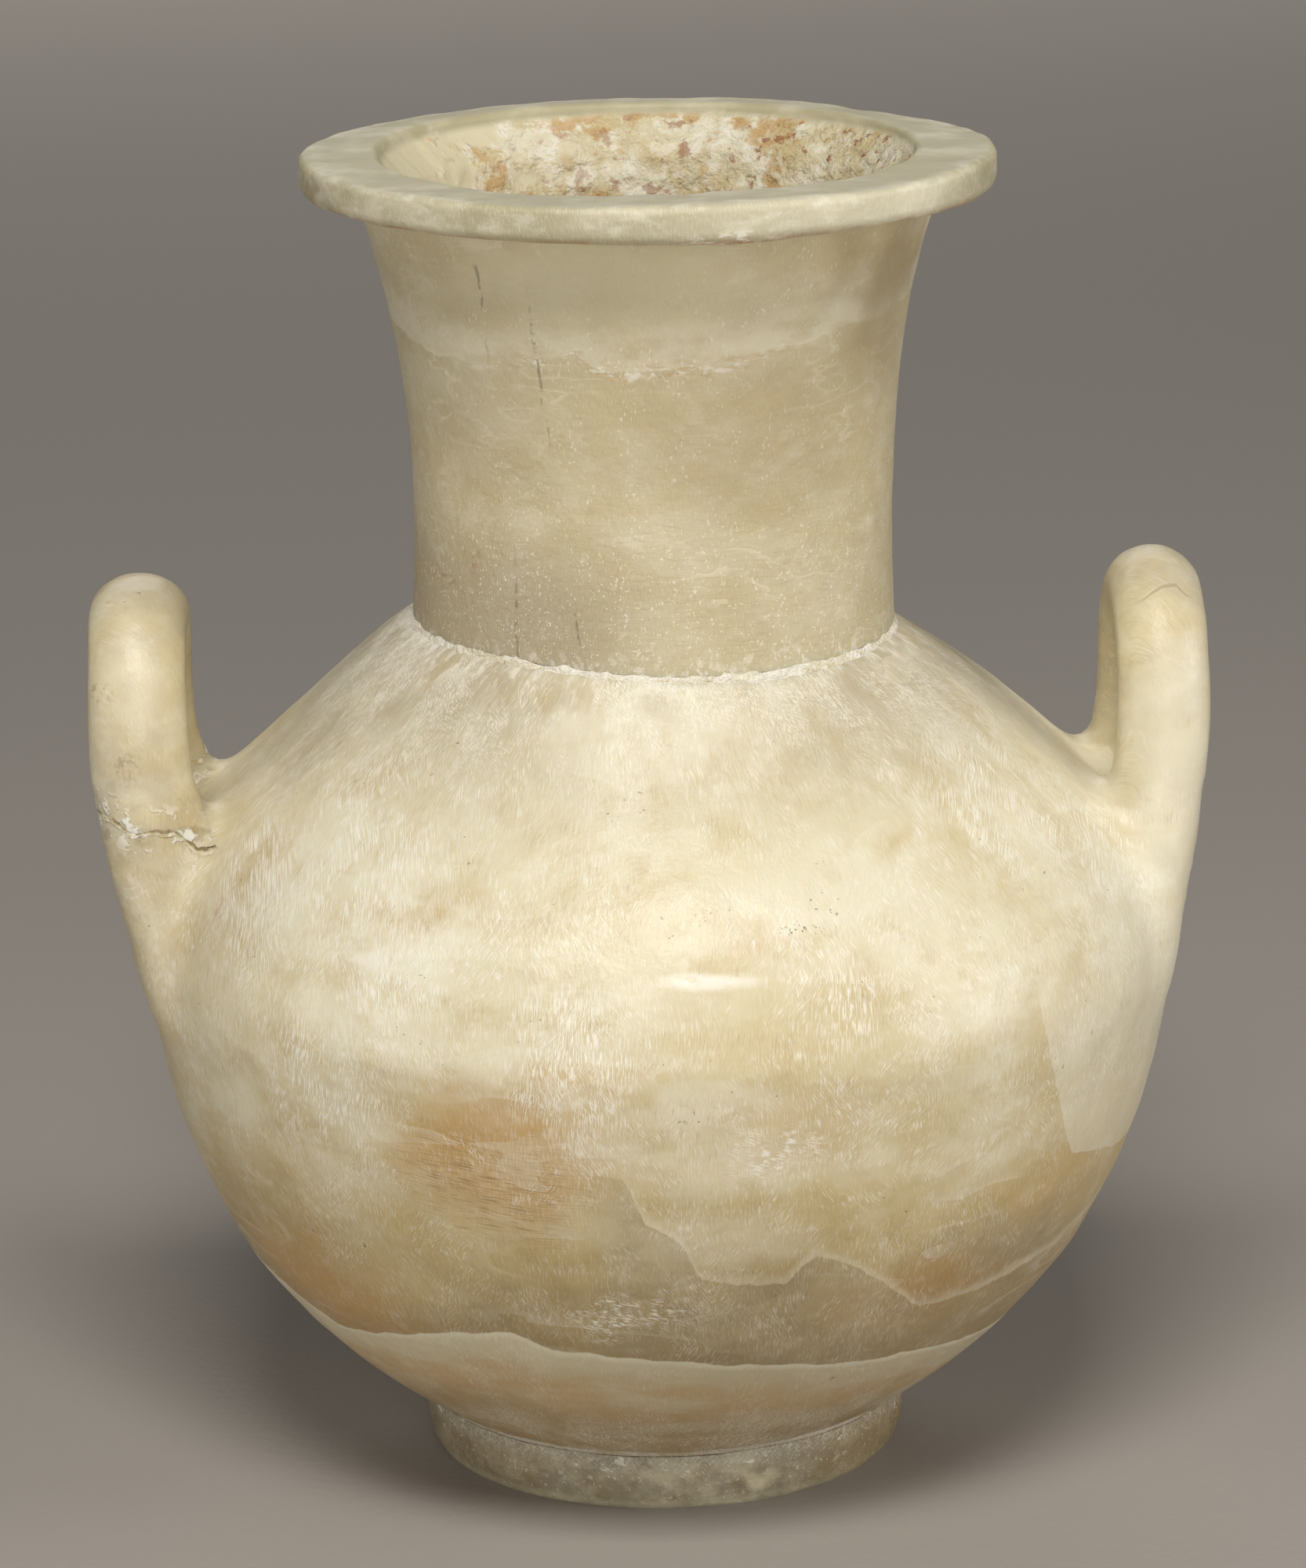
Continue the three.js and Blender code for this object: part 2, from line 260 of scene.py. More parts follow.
def spun(bm, profile, steps):
    """Spins a profile of (radius, level) points round the jar's axis into a closed skin."""
    verts = [bm.verts.new((p.x, 0, p.y)) for p in profile]
    edges = [bm.edges.new(pair) for pair in zip(verts, verts[1:])]
    bmesh.ops.spin(bm, geom=verts + edges, cent=(0, 0, 0), axis=(0, 0, 1), angle=2 * math.pi,
                   steps=steps, use_merge=True, use_duplicate=False)
    bmesh.ops.remove_doubles(bm, verts=bm.verts, dist=1e-6)
    bmesh.ops.recalc_face_normals(bm, faces=bm.faces)


def new_piece(name, bm):
    """Makes a smooth-shaded object from a bmesh, and frees it."""
    mesh = bpy.data.meshes.new(name)
    bm.to_mesh(mesh)
    bm.free()
    mesh.shade_smooth()
    piece = bpy.data.objects.new(name, mesh)
    bpy.context.scene.collection.objects.link(piece)
    return piece


def with_modifier(piece, kind, **settings):
    """Adds one modifier with its settings and applies it to the mesh."""
    modifier = piece.modifiers.new(kind.title(), kind)
    for key, value in settings.items():
        setattr(modifier, key, value)
    graph = bpy.context.evaluated_depsgraph_get()
    baked = bpy.data.meshes.new_from_object(piece.evaluated_get(graph))
    piece.modifiers.clear()
    old = piece.data
    baked.name = old.name
    piece.data = baked
    bpy.data.meshes.remove(old)
    return piece


def opened(piece):
    """A bmesh of a finished piece."""
    bm = bmesh.new()
    bm.from_mesh(piece.data)
    return bm


def cut(piece, tool, operation):
    with_modifier(piece, "BOOLEAN", object=tool, operation=operation, solver="MANIFOLD")


def discard(*tools):
    for tool in tools:
        bpy.data.objects.remove(tool)


def dress(piece, node, material):
    """Gives a finished piece its sharp edges, its material and its place in the frame."""
    piece.data.set_sharp_from_angle(angle=math.radians(50))
    piece.data.materials.clear()
    piece.data.materials.append(material)
    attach(piece, "root")
    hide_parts(node)


def joint_lift(p):
    """How far the hand-cut joint under the neck rises over its mean level, in a point's direction."""
    turn = math.atan2(p.x, -p.y)
    return (-0.6 - 2.3 * math.sin(turn + 0.35) - 0.5 * math.sin(3 * turn + 0.8)) * MM


def hand_worked(bm, depth, size, seed, only=None):
    """Moves the skin in and out by a depth, in waves of a size in millimetres, as hand rubbing leaves it."""
    depth, size = depth * MM, size * MM
    shift = Vector((seed, 2.7 * seed, 0))
    bm.normal_update()
    for v in bm.verts:
        if only is None or only(v.co):
            v.co += v.normal * depth * noise.noise(v.co / size + shift)


# Handles


def handle_stations(side, reach, width, crown):
    """Centre, outward direction, half width and half bar of each ring of a handle."""
    s = sizes()
    half_bar = s.handle_bar / 2
    half_span = s.handle_span / 2 - half_bar
    spring = BODY_LEVEL + s.spring_height
    root = BODY_LEVEL + s.root_height
    rise = crown - half_bar - spring
    root_y = half_span + LEG_SHARES[-1][4] * s.handle_span
    root_x = math.sqrt(radius_at(body_line(), root) ** 2 - root_y ** 2)
    legs = []
    for drop, inward, width_share, bar_share, splay in reversed(LEG_SHARES):
        half_width = width * width_share / 2
        centre = Vector((mix(reach, root_x, inward) - half_width, half_span + splay * s.handle_span,
                         mix(spring, root, drop)))
        legs.append((centre, Vector((0, 1, 0)), half_width, half_bar * bar_share))
    loop = []
    roundness = 2.4
    loop_steps = 6
    for i in range(loop_steps + 1):
        turn = i / loop_steps * math.pi / 2
        c, n = max(math.cos(turn), 0), math.sin(turn)
        lean = 2 - 2 / roundness
        outward = Vector((0, c ** lean / half_span, n ** lean / rise)).normalized()
        centre = Vector((reach - width / 2, half_span * c ** (2 / roundness),
                         spring + rise * n ** (2 / roundness)))
        loop.append((centre, outward, width / 2, half_bar))
    rear = legs + loop
    front = [(Vector((c.x, -c.y, c.z)), Vector((o.x, -o.y, o.z)), w, b)
             for c, o, w, b in reversed(rear[:-1])]
    return [(Vector((c.x * side, c.y, c.z)), o, w, b) for c, o, w, b in rear + front]


def handle(side, reach, width, crown):
    """A whole loop handle on its two legs, as a closed tube of changing section."""
    sides = 16
    fullness = 1.025
    bm = bmesh.new()
    rings = []
    for centre, outward, half_width, half_bar in handle_stations(side, reach, width, crown):
        across = Vector((1, 0, 0))
        along = across.cross(outward)
        axes = (across * half_width * fullness, outward * half_bar * fullness, along)
        place = Matrix(axes).transposed().to_4x4()
        place.translation = centre
        made = bmesh.ops.create_circle(bm, segments=sides, radius=1, matrix=place)
        rings.append(list({e for v in made["verts"] for e in v.link_edges}))
    for low, high in zip(rings, rings[1:]):
        bmesh.ops.bridge_loops(bm, edges=low + high)
    bmesh.ops.holes_fill(bm, edges=rings[0] + rings[-1], sides=sides)
    bmesh.ops.recalc_face_normals(bm, faces=bm.faces)
    piece = new_piece("handle", bm)
    return with_modifier(piece, "SUBSURF", levels=2, render_levels=2)


def near_junction(p, line):
    """Tests whether a point lies where a handle leg runs into the belly."""
    proud = from_axis(p) - radius_at(line, p.z)
    return (abs(p.x) > JUNCTION_OUT and JUNCTION_LEVELS[0] < p.z < JUNCTION_LEVELS[1]
            and JUNCTION_SKIN[0] < proud < JUNCTION_SKIN[1])


def rub(bm, verts, times):
    """Smooths points evenly, a number of times."""
    for _ in range(times):
        bmesh.ops.smooth_vert(bm, verts=verts, factor=0.5, use_axis_x=True, use_axis_y=True,
                              use_axis_z=True)


def soften(piece, line):
    """Rubs the remeshed skin smooth, most where the handle legs join the belly, and shapes its top."""
    bm = opened(piece)
    rub(bm, bm.verts, 3)
    rub(bm, [v for v in bm.verts if near_junction(v.co, line)], 22)
    hand_worked(bm, 0.9, 60, 3)
    hand_worked(bm, 0.25, 11, 8)
    top_reach = 95 * MM
    for v in bm.verts:
        if from_axis(v.co) < top_reach:
            v.co.z += joint_lift(v.co) * ease(between(abs(v.co.z - SEAT_LEVEL), 26, 0))
    bm.to_mesh(piece.data)
    bm.free()


def carved_block():
    """The vessel with both whole handles, before the left loop is cut off."""
    s = sizes()
    line = body_line()
    bm = bmesh.new()
    spun(bm, [Vector((0, BODY_LEVEL)), *line, Vector((0, SEAT_LEVEL))], 128)
    block = new_piece("vessel_carving", bm)
    for side, reach, width, crown in ((1, RIGHT_REACH, s.right_width, RIGHT_CROWN),
                                      (-1, LEFT_REACH, s.left_width, LEFT_CROWN)):
        tool = handle(side, reach, width, crown)
        cut(block, tool, "UNION")
        discard(tool)
    bore = s.neck_base_radius - s.neck_wall
    floor_level = BODY_LEVEL + s.floor
    inner = [Vector((max(p.x, bore), p.y)) for p in inset_line(line, s.wall)
             if floor_level < p.y < SEAT_LEVEL - s.wall / 2]
    bm = bmesh.new()
    spun(bm, [Vector((0, floor_level)), Vector((inner[0].x - s.wall / 2, floor_level)), *inner,
              Vector((bore, SEAT_LEVEL + s.wall)), Vector((0, SEAT_LEVEL + s.wall))], 96)
    hollow = new_piece("hollow", bm)
    cut(block, hollow, "DIFFERENCE")
    discard(hollow)
    with_modifier(block, "REMESH", mode="VOXEL", voxel_size=s.carving_voxel, use_smooth_shade=True)
    soften(block, line)
    return block


def break_level(x, y):
    """Height of the left handle's break, over the near leg and the far leg, in metres."""
    near = level_along(NEAR_BREAK, x)
    far = level_along(FAR_BREAK, x)
    return mix(near, far, ease(between(y, -20, 20)))


def level_along(points, x):
    """Level of a line of (x, z) points in millimetres, at x in metres."""
    for (x0, z0), (x1, z1) in zip(points, points[1:]):
        if x <= x1 * MM:
            return mix(z0, z1, between(x, x0, x1)) * MM
    return points[-1][1] * MM


def break_tool(name, drop, clear):
    """Solid above the ragged breaks of the left handle, lowered by a drop, outside a clear radius."""
    breadth, margin, headroom = 124 * MM, 8 * MM, 12 * MM
    bm = bmesh.new()
    made = bmesh.ops.create_grid(bm, x_segments=70, y_segments=150, size=0.5)
    for v in made["verts"]:
        across, y = v.co.x + 0.5, v.co.y * breadth
        x = -mix(math.sqrt(clear ** 2 - y ** 2), LEFT_REACH + margin, across)
        place = Vector((x, y, 0))
        ragged = 1.3 * noise.noise(place / (9 * MM)) + 0.8 * noise.noise(place / (3.5 * MM))
        v.co = (x, y, break_level(x, y) + ragged * MM - drop)
    raised = bmesh.ops.extrude_face_region(bm, geom=bm.faces[:])
    for g in raised["geom"]:
        if isinstance(g, bmesh.types.BMVert):
            g.co.z = LEFT_CROWN + headroom
    bmesh.ops.recalc_face_normals(bm, faces=bm.faces)
    return new_piece(name, bm)


def in_triangles(piece):
    """Joins points of a cut piece that all but touch, and splits its faces, so that none folds back."""
    bm = opened(piece)
    bmesh.ops.remove_doubles(bm, verts=bm.verts, dist=0.002 * MM)
    bmesh.ops.triangulate(bm, faces=bm.faces)
    bm.to_mesh(piece.data)
    bm.free()


def copy_of(piece, name):
    twin = piece.copy()
    twin.data = piece.data.copy()
    twin.name = name
    bpy.context.scene.collection.objects.link(twin)
    return twin


class JAR_OT_vessel(bpy.types.Operator):
    """Carves the belly with both handles, then breaks the left loop off and fills the breaks"""

    bl_idname = "jar.vessel"
    bl_label = "Vessel and Handles"

    def execute(self, context):
        block = carved_block()
        clear, overlap, filler_height = 121.6 * MM, 0.5 * MM, 1 * MM
        above = break_tool("above_break", 0, clear)
        beyond = break_tool("beyond_break", 0, clear - overlap)
        below = break_tool("below_break", filler_height, clear)
        loop = copy_of(block, "left_loop")
        cut(loop, above, "INTERSECT")
        fills = copy_of(block, "break_fills")
        cut(fills, below, "INTERSECT")
        cut(fills, beyond, "DIFFERENCE")
        cut(block, below, "DIFFERENCE")
        discard(above, beyond, below)
        for piece in (loop, fills, block):
            in_triangles(piece)
        filler = crumbled_filler()
        for name, node, sign in (("front_fill", "front_break_fill", -1),
                                 ("rear_fill", "rear_break_fill", 1)):
            bm = opened(fills)
            other = [v for v in bm.verts if v.co.y * sign < 0]
            bmesh.ops.delete(bm, geom=other, context="VERTS")
            bm.normal_update()
            for v in bm.verts:
                v.co += v.normal * (0.15 + 0.7 * noise.noise(v.co / (3 * MM))) * MM
            dress(new_piece(name, bm), node, filler)
        discard(fills)
        stone = travertine_vessel()
        dress(block, "vessel", stone)
        dress(loop, "left_handle_loop", stone)
        return {"FINISHED"}


# Neck, foot and beds


def neck_height():
    """Height of the neck from its joint to its rim."""
    return TOP_LEVEL - sizes().rim_thickness - NECK_LEVEL


def neck_radius(height):
    """Outside of the neck, at a height over its joint."""
    s = sizes()
    share = (height - s.neck_waist_height) / (neck_height() - s.neck_waist_height)
    if share >= 0:
        return mix(s.neck_waist_radius, s.neck_top_radius, share ** 2.4)
    return mix(s.neck_waist_radius, s.neck_base_radius, (1 - height / s.neck_waist_height) ** 2)


def neck_profile():
    """Closed profile of the neck: up the outside, round the rim and down the bore."""
    s = sizes()
    rim_level = TOP_LEVEL - s.rim_thickness
    tall = rim_level - NECK_LEVEL
    levels = [tall * i / 44 for i in range(45)]
    outside = [Vector((neck_radius(h), NECK_LEVEL + h)) for h in levels]
    under, over, lip = 3.4 * MM, 2.1 * MM, 2.2 * MM
    quarter = math.pi / 2
    edge = arc(Vector((RIM_RADIUS - under, rim_level + under)), under, -quarter, 0, 8)
    shelf = [outside[-1].lerp(edge[0], i / 6) for i in range(1, 6)]
    top = arc(Vector((RIM_RADIUS - over, TOP_LEVEL - over)), over, 0, quarter, 7)
    mouth = arc(Vector((s.mouth_radius + lip, TOP_LEVEL - lip)), lip, quarter, 2 * quarter, 5)
    flat = [top[-1].lerp(mouth[0], i / 8) for i in range(1, 8)]
    seen_depth = 75 * MM
    seen = [mix(rim_level, rim_level - seen_depth, i / 50) for i in range(51)]
    deeper = [mix(seen[-1], NECK_LEVEL, i / 6) for i in range(1, 7)]
    inside = [Vector((neck_radius(z - NECK_LEVEL) - s.neck_wall, z)) for z in seen + deeper]
    foot = [inside[-1].lerp(outside[0], i / 6) for i in range(1, 7)]
    return outside + shelf + edge + top + flat + mouth + inside + foot


def in_bore(p):
    """Tests whether a point of the neck lies on its inside."""
    skin = neck_radius(min(p.z - NECK_LEVEL, neck_height()))
    return from_axis(p) < skin - 0.6 * sizes().neck_wall


def on_rim(p):
    return p.z > TOP_LEVEL - sizes().rim_thickness - 1 * MM and not in_bore(p)


def on_smear(p):
    return from_axis(p) > NECK_BED_RADIUS - 1 * MM


def settle(p):
    """Lets the back of the rim drop and spread a little, and the neck's foot follow its joint."""
    drop, spread = 1.3 * MM, 4 * MM
    rear = between(p.y, 0, 60)
    out = from_axis(p)
    if p.z > TOP_LEVEL - 12 * MM:
        p.z -= drop * rear * between(out, 69, 89)
    if p.z > TOP_LEVEL - 9 * MM:
        high = between(p.z - TOP_LEVEL, -9, -3)
        wider = 1 + rear * spread * high * between(out, 86, 69) / out
        p.x *= wider
        p.y *= wider
    reach = 1 - min((p.z - NECK_LEVEL) / (40 * MM), 1)
    p.z += joint_lift(p) * ease(reach)


class JAR_OT_neck(bpy.types.Operator):
    """Turns the neck with its flat rim, and its bed on the vessel"""

    bl_idname = "jar.neck"
    bl_label = "Neck and Bed"

    def execute(self, context):
        s = sizes()
        bm = bmesh.new()
        spun(bm, neck_profile(), 480)
        hand_worked(bm, 0.8, 50, 1)
        hand_worked(bm, 0.2, 9, 2)
        hand_worked(bm, 0.3, 9, 9, on_rim)
        hand_worked(bm, 1.6, 11, 4, in_bore)
        hand_worked(bm, 0.7, 4, 6, in_bore)
        for v in bm.verts:
            settle(v.co)
        dress(new_piece("neck_carving", bm), "neck", travertine_neck())
        bm = bmesh.new()
        inner = s.neck_base_radius - s.neck_wall
        smear = [Vector((NECK_BED_RADIUS + out * MM, SEAT_LEVEL + up * MM)) for out, up in
                 ((-3, -2), (0.6, -1.3), (0.6, -0.8), (0.3, 0.1), (0.1, 0.8), (-0.4, 1.4), (-2, 1.6))]
        low_edge, high_edge = Vector((inner, SEAT_LEVEL)), Vector((inner, NECK_LEVEL))
        spun(bm, [low_edge, *smear, high_edge, low_edge], 360)
        for v in bm.verts:
            v.co.z += joint_lift(v.co)
        hand_worked(bm, 0.9, 5, 7, on_smear)
        hand_worked(bm, 0.5, 2, 8, on_smear)
        dress(new_piece("neck_gypsum", bm), "neck_bed", gypsum_plaster())
        return {"FINISHED"}


def on_foot_side(p):
    return from_axis(p) > 0.95 * sizes().foot_base_radius and p.z > 1.5 * MM


class JAR_OT_foot(bpy.types.Operator):
    """Turns the round foot and its bed under the vessel"""

    bl_idname = "jar.foot"
    bl_label = "Foot and Bed"

    def execute(self, context):
        base = sizes().foot_base_radius
        wall = []
        for i in range(15):
            up = i / 14
            bulge = (1 - (1 - up) ** 2) ** 0.6
            wall.append(Vector((mix(base, FOOT_RADIUS, bulge), up * FOOT_TOP)))
        underside = [Vector((base * i / 8, 0)) for i in range(8)]
        top = [Vector((FOOT_RADIUS * i / 8, FOOT_TOP)) for i in range(7, -1, -1)]
        bm = bmesh.new()
        spun(bm, underside + wall + top, 240)
        hand_worked(bm, 0.7, 22, 1, on_foot_side)
        hand_worked(bm, 0.3, 4, 2, on_foot_side)
        dress(new_piece("foot_carving", bm), "foot", travertine_foot())
        bm = bmesh.new()
        section = ((0, FOOT_TOP), (FOOT_BED_RADIUS, FOOT_TOP), (FOOT_BED_RADIUS, BODY_LEVEL), (0, BODY_LEVEL))
        spun(bm, [Vector(p) for p in section], 128)
        dress(new_piece("foot_gypsum", bm), "foot_bed", gypsum_plaster())
        return {"FINISHED"}


# Materials


# Reach of the drawn lines along either axis, and the radius at which the jar's skin is unrolled
LOW_END = -150 * MM
HIGH_END = 350 * MM
RING = 130 * MM

# Sway of the strokes, depth of the glow, and the shares of it that red, green and blue light reach
SWAY = (6 * MM, 3 * MM, 0)
GLOW_DEPTH = 8 * MM
WARM_GLOW = (1.0, 0.66, 0.36)


class Surface:
    """A stone surface that is painted in layers on its own node tree."""

    def __init__(self, name, colour, roughness):
        self.material = bpy.data.materials.new(name)
        self.material.use_nodes = True
        self.tree = self.material.node_tree
        self.tree.nodes.clear()
        self.shader = self.add("BsdfPrincipled", out=None)
        self.add("OutputMaterial", {"Surface": self.shader.outputs[0]}, out=None)
        self.colour = colour
        self.roughness = roughness
        self.height = 0.0
        self.warped = None
        self.place = self.add("TexCoord", out="Object")
        self.x, self.y, self.z = self.add("SeparateXYZ", {0: self.place}, out=None).outputs
        flat = self.add("VectorMath", {0: self.place, 1: (1, 1, 0)}, operation="MULTIPLY")
        self.radius = self.add("VectorMath", {0: flat}, out="Value", operation="LENGTH")
        unit = self.add("VectorMath", {0: flat}, operation="NORMALIZE")
        upright = self.add("VectorMath", {0: self.place, 1: (0, 0, 1)}, operation="MULTIPLY")
        self.ring = self.add("VectorMath", {0: unit, 1: (RING, RING, RING), 2: upright},
                             operation="MULTIPLY_ADD")
        back = self.add("Math", {0: self.y, 1: -1}, operation="MULTIPLY")
        turn = self.add("Math", {0: self.x, 1: back}, operation="ARCTAN2")
        arc_along = self.add("Math", {0: turn, 1: RING}, operation="MULTIPLY")
        self.unrolled = self.add("CombineXYZ", {0: arc_along, 1: self.z})
        self.bend()

    def bend(self):
        """Sways the unrolled place and the place seen from the front, for strokes that lie unevenly."""
        sway = self.add("TexNoise", {"Vector": self.ring, "Scale": 45, "Detail": 1}, out="Color")
        front = self.add("CombineXYZ", {0: self.x, 1: self.z})
        self.bent, self.facing = [
            self.add("VectorMath", {0: sway, 1: SWAY, 2: flat}, operation="MULTIPLY_ADD")
            for flat in (self.unrolled, front)]

    def add(self, kind, links=None, out=0, **settings):
        """Adds one shader node with its settings and links, and gives one of its outputs, or the node."""
        node = self.tree.nodes.new("ShaderNode" + kind)
        for key, value in settings.items():
            setattr(node, key, value)
        for key, value in (links or {}).items():
            if isinstance(value, bpy.types.NodeSocket):
                self.tree.links.new(value, node.inputs[key])
            else:
                node.inputs[key].default_value = value
        return node if out is None else node.outputs[out]

    def paint(self, mask, colour, share=1.0):
        """Lays a colour over what is there, through a mask."""
        part = self.add("Math", {0: mask, 1: share}, operation="MULTIPLY") if share != 1 else mask
        self.colour = self.add("Mix", {0: part, 6: self.colour, 7: colour}, out=2, data_type="RGBA")

    def raised(self, mask, rise):
        """Lifts the surface by a height in millimetres, through a mask."""
        self.height = self.add("Math", {0: mask, 1: rise, 2: self.height}, operation="MULTIPLY_ADD")

    def rough(self, mask, roughness):
        self.roughness = self.add("Mix", {0: mask, 2: self.roughness, 3: roughness})

    def meet(self, first, *others):
        """Where all the masks meet."""
        for mask in others:
            first = self.add("Math", {0: first, 1: mask}, operation="MULTIPLY")
        return first

    def join(self, first, *others):
        """Where any of the masks is."""
        for mask in others:
            first = self.add("Math", {0: first, 1: mask}, operation="MAXIMUM")
        return first

    def clouds(self, across, up, low, high, detail=3.0, seed=0.0, place=None):
        """Soft patches of a size in millimetres across and up, between two shares of a noise."""
        scale = [1 / (size * MM) for size in (across, across, up)]
        scaled = self.add("Mapping", {0: place or self.ring, 1: (seed, seed, seed), 3: scale})
        fog = self.add("TexNoise", {"Vector": scaled, "Scale": 1, "Detail": detail, "Roughness": 0.6})
        return self.add("MapRange", {0: fog, 1: low, 2: high}, interpolation_type="SMOOTHSTEP")

    def strokes(self, width, run, turn, low, high, seed=0.0, place=None):
        """Fine strokes of a width and a run in millimetres, turned by degrees from upright."""
        laid = self.add("Mapping", {0: place or self.bent, 1: (seed * MM, 0, 0),
                                    2: (0, 0, math.radians(turn)), 3: (width * MM, run * MM, 1)},
                        vector_type="TEXTURE")
        grain = self.add("TexNoise", {"Vector": laid, "Scale": 1, "Detail": 1}, noise_dimensions="2D")
        return self.add("MapRange", {0: grain, 1: low, 2: high}, interpolation_type="SMOOTHSTEP")

    def crescents(self, cell, seed=0.0):
        """Tiny curved flecks, cut from rings in cells of a size in millimetres."""
        scaled = self.add("Mapping", {0: self.place, 1: (seed, seed, seed), 3: [1 / (cell * MM)] * 3})
        away = self.add("TexVoronoi", {"Vector": scaled, "Scale": 1})
        ring = self.add("Math", {0: away, 1: 0.3, 2: 0.07}, operation="COMPARE")
        return self.meet(ring, self.clouds(cell * 0.45, cell * 0.45, 0.56, 0.62, 1, seed + 3, self.place))

    def ripples(self, across, up, detail, count, start):
        """Growth lines of the stone: noise in waves per metre across and up, counted over and over."""
        laid = self.add("Mapping", {0: self.ring, 3: (across, across, up)})
        fog = self.add("TexNoise", {"Vector": laid, "Scale": 1, "Detail": detail})
        counted = self.add("Math", {0: fog, 1: count}, operation="MULTIPLY")
        part = self.add("Math", {0: counted}, operation="FRACT")
        return self.add("MapRange", {0: part, 1: start, 2: 1}, interpolation_type="SMOOTHSTEP")

    def beyond(self, along, across, points, waver, ragged=6):
        """Metres by which a place lies past a drawn line, whose edge wavers by millimetres."""
        share = self.add("MapRange", {0: along, 1: LOW_END, 2: HIGH_END})
        curve = self.add("FloatCurve", {1: share}, out=None)
        ends = [[(value * MM - LOW_END) / (HIGH_END - LOW_END) for value in point] for point in points]
        line = curve.mapping.curves[0].points
        line[0].location, line[1].location = ends[0], ends[-1]
        for end in ends[1:-1]:
            line.new(*end)
        for point in line:
            point.handle_type = "VECTOR"
        curve.mapping.update()
        level = self.add("MapRange", {0: curve.outputs[0], 3: LOW_END, 4: HIGH_END})
        fog = self.add("TexNoise", {"Vector": self.place, "Scale": 1 / (ragged * MM), "Detail": 3})
        sway = self.add("Math", {0: fog, 1: 2 * waver * MM, 2: -waver * MM}, operation="MULTIPLY_ADD")
        past = self.add("Math", {0: across, 1: level}, operation="SUBTRACT")
        return self.add("Math", {0: past, 1: sway}, operation="ADD")

    def within(self, value, start, full):
        """A soft step in millimetres on a socket that holds metres."""
        return self.add("MapRange", {0: value, 1: start * MM, 2: full * MM}, interpolation_type="SMOOTHSTEP")

    def near(self, value, width):
        """Full on a line, fading out at a width in millimetres."""
        away = self.add("Math", {0: value}, operation="ABSOLUTE")
        return self.within(away, width, 0.15 * width)

    def blotch(self, centre, reach, uneven=True):
        """A soft patch, with an uneven outline or a plain one, about a centre, in millimetres."""
        if not self.warped:
            fog = self.add("TexNoise", {"Vector": self.place, "Scale": 55, "Detail": 3}, out="Color")
            moved = self.add("VectorMath", {0: fog, 1: (-0.5, -0.5, -0.5)}, operation="ADD")
            self.warped = self.add("VectorMath", {0: moved, 1: (0.03, 0.03, 0.03), 2: self.place},
                                   operation="MULTIPLY_ADD")
        near = self.add("Mapping", {0: self.warped if uneven else self.place, 1: [c * MM for c in centre],
                                    3: [r * MM for r in reach]}, vector_type="TEXTURE")
        away = self.add("VectorMath", {0: near}, out="Value", operation="LENGTH")
        return self.add("MapRange", {0: away, 1: 1, 2: 0.25}, interpolation_type="SMOOTHSTEP")

    def patches(self, colour, *rows):
        """Paints soft patches of one colour, each with its centre, its reach and its share."""
        for centre, reach, share in rows:
            self.paint(self.blotch(centre, reach), colour, share)

    def finish(self, glow=0.0):
        """Wires the painted colour, roughness and height to the shader."""
        bump = self.add("Bump", {"Strength": 1, "Distance": MM, "Height": self.height})
        for name, value in (("Base Color", self.colour), ("Roughness", self.roughness), ("Normal", bump)):
            if isinstance(value, bpy.types.NodeSocket):
                self.tree.links.new(value, self.shader.inputs[name])
            else:
                self.shader.inputs[name].default_value = value
        self.shader.inputs["Subsurface Weight"].default_value = glow
        self.shader.inputs["Subsurface Radius"].default_value = WARM_GLOW
        self.shader.inputs["Subsurface Scale"].default_value = GLOW_DEPTH
        return self.material


def travertine_vessel():
    """Rubbed travertine of the belly and handles.

    Rubbing with grit leaves a soft, uneven gloss. The calcite shows as cloudy bands with pale, fibrous
    strokes, and light sinks a little way into it, which warms its thin edges.
    """
    c = colours()
    s = Surface("rubbed_travertine", c.cream, 0.42)
    line = body_line()
    levels = [mix(BODY_LEVEL, SEAT_LEVEL, i / 14) / MM for i in range(15)]
    proud = s.beyond(s.z, s.radius, [(z, radius_at(line, z * MM) / MM) for z in levels], 0)
    on_handle = s.within(proud, 2, 8)
    s.ring = s.add("Mix", {0: on_handle, 4: s.ring, 5: s.place}, out=1, data_type="VECTOR")
    sideways = s.add("Math", {0: s.x, 1: s.y}, operation="ADD")
    plain = s.add("CombineXYZ", {0: sideways, 1: s.z})
    s.unrolled = s.add("Mix", {0: on_handle, 4: s.unrolled, 5: plain}, out=1, data_type="VECTOR")
    s.bend()
    bare = s.add("MapRange", {0: on_handle, 3: 1, 4: 0.35})
    mottle = vessel_bands(s, c, on_handle, bare)
    vessel_layers(s, c)
    fine, tufted = vessel_fibres(s, c, bare, mottle)
    smear = vessel_scuffs(s, c)
    dabs, crack = vessel_breaks(s, c, proud)
    vessel_stains(s, c, fine)
    s.raised(dabs, 0.35)
    s.raised(crack, -0.15)
    s.raised(s.clouds(1.2, 2.4, 0.3, 0.7, 2, 57, s.place), 0.05)
    s.raised(s.clouds(9, 9, 0.3, 0.7, 1, 58, s.place), 0.12)
    s.rough(tufted, 0.55)
    s.rough(smear, 0.85)
    s.rough(dabs, 0.9)
    return s.finish(0.3)


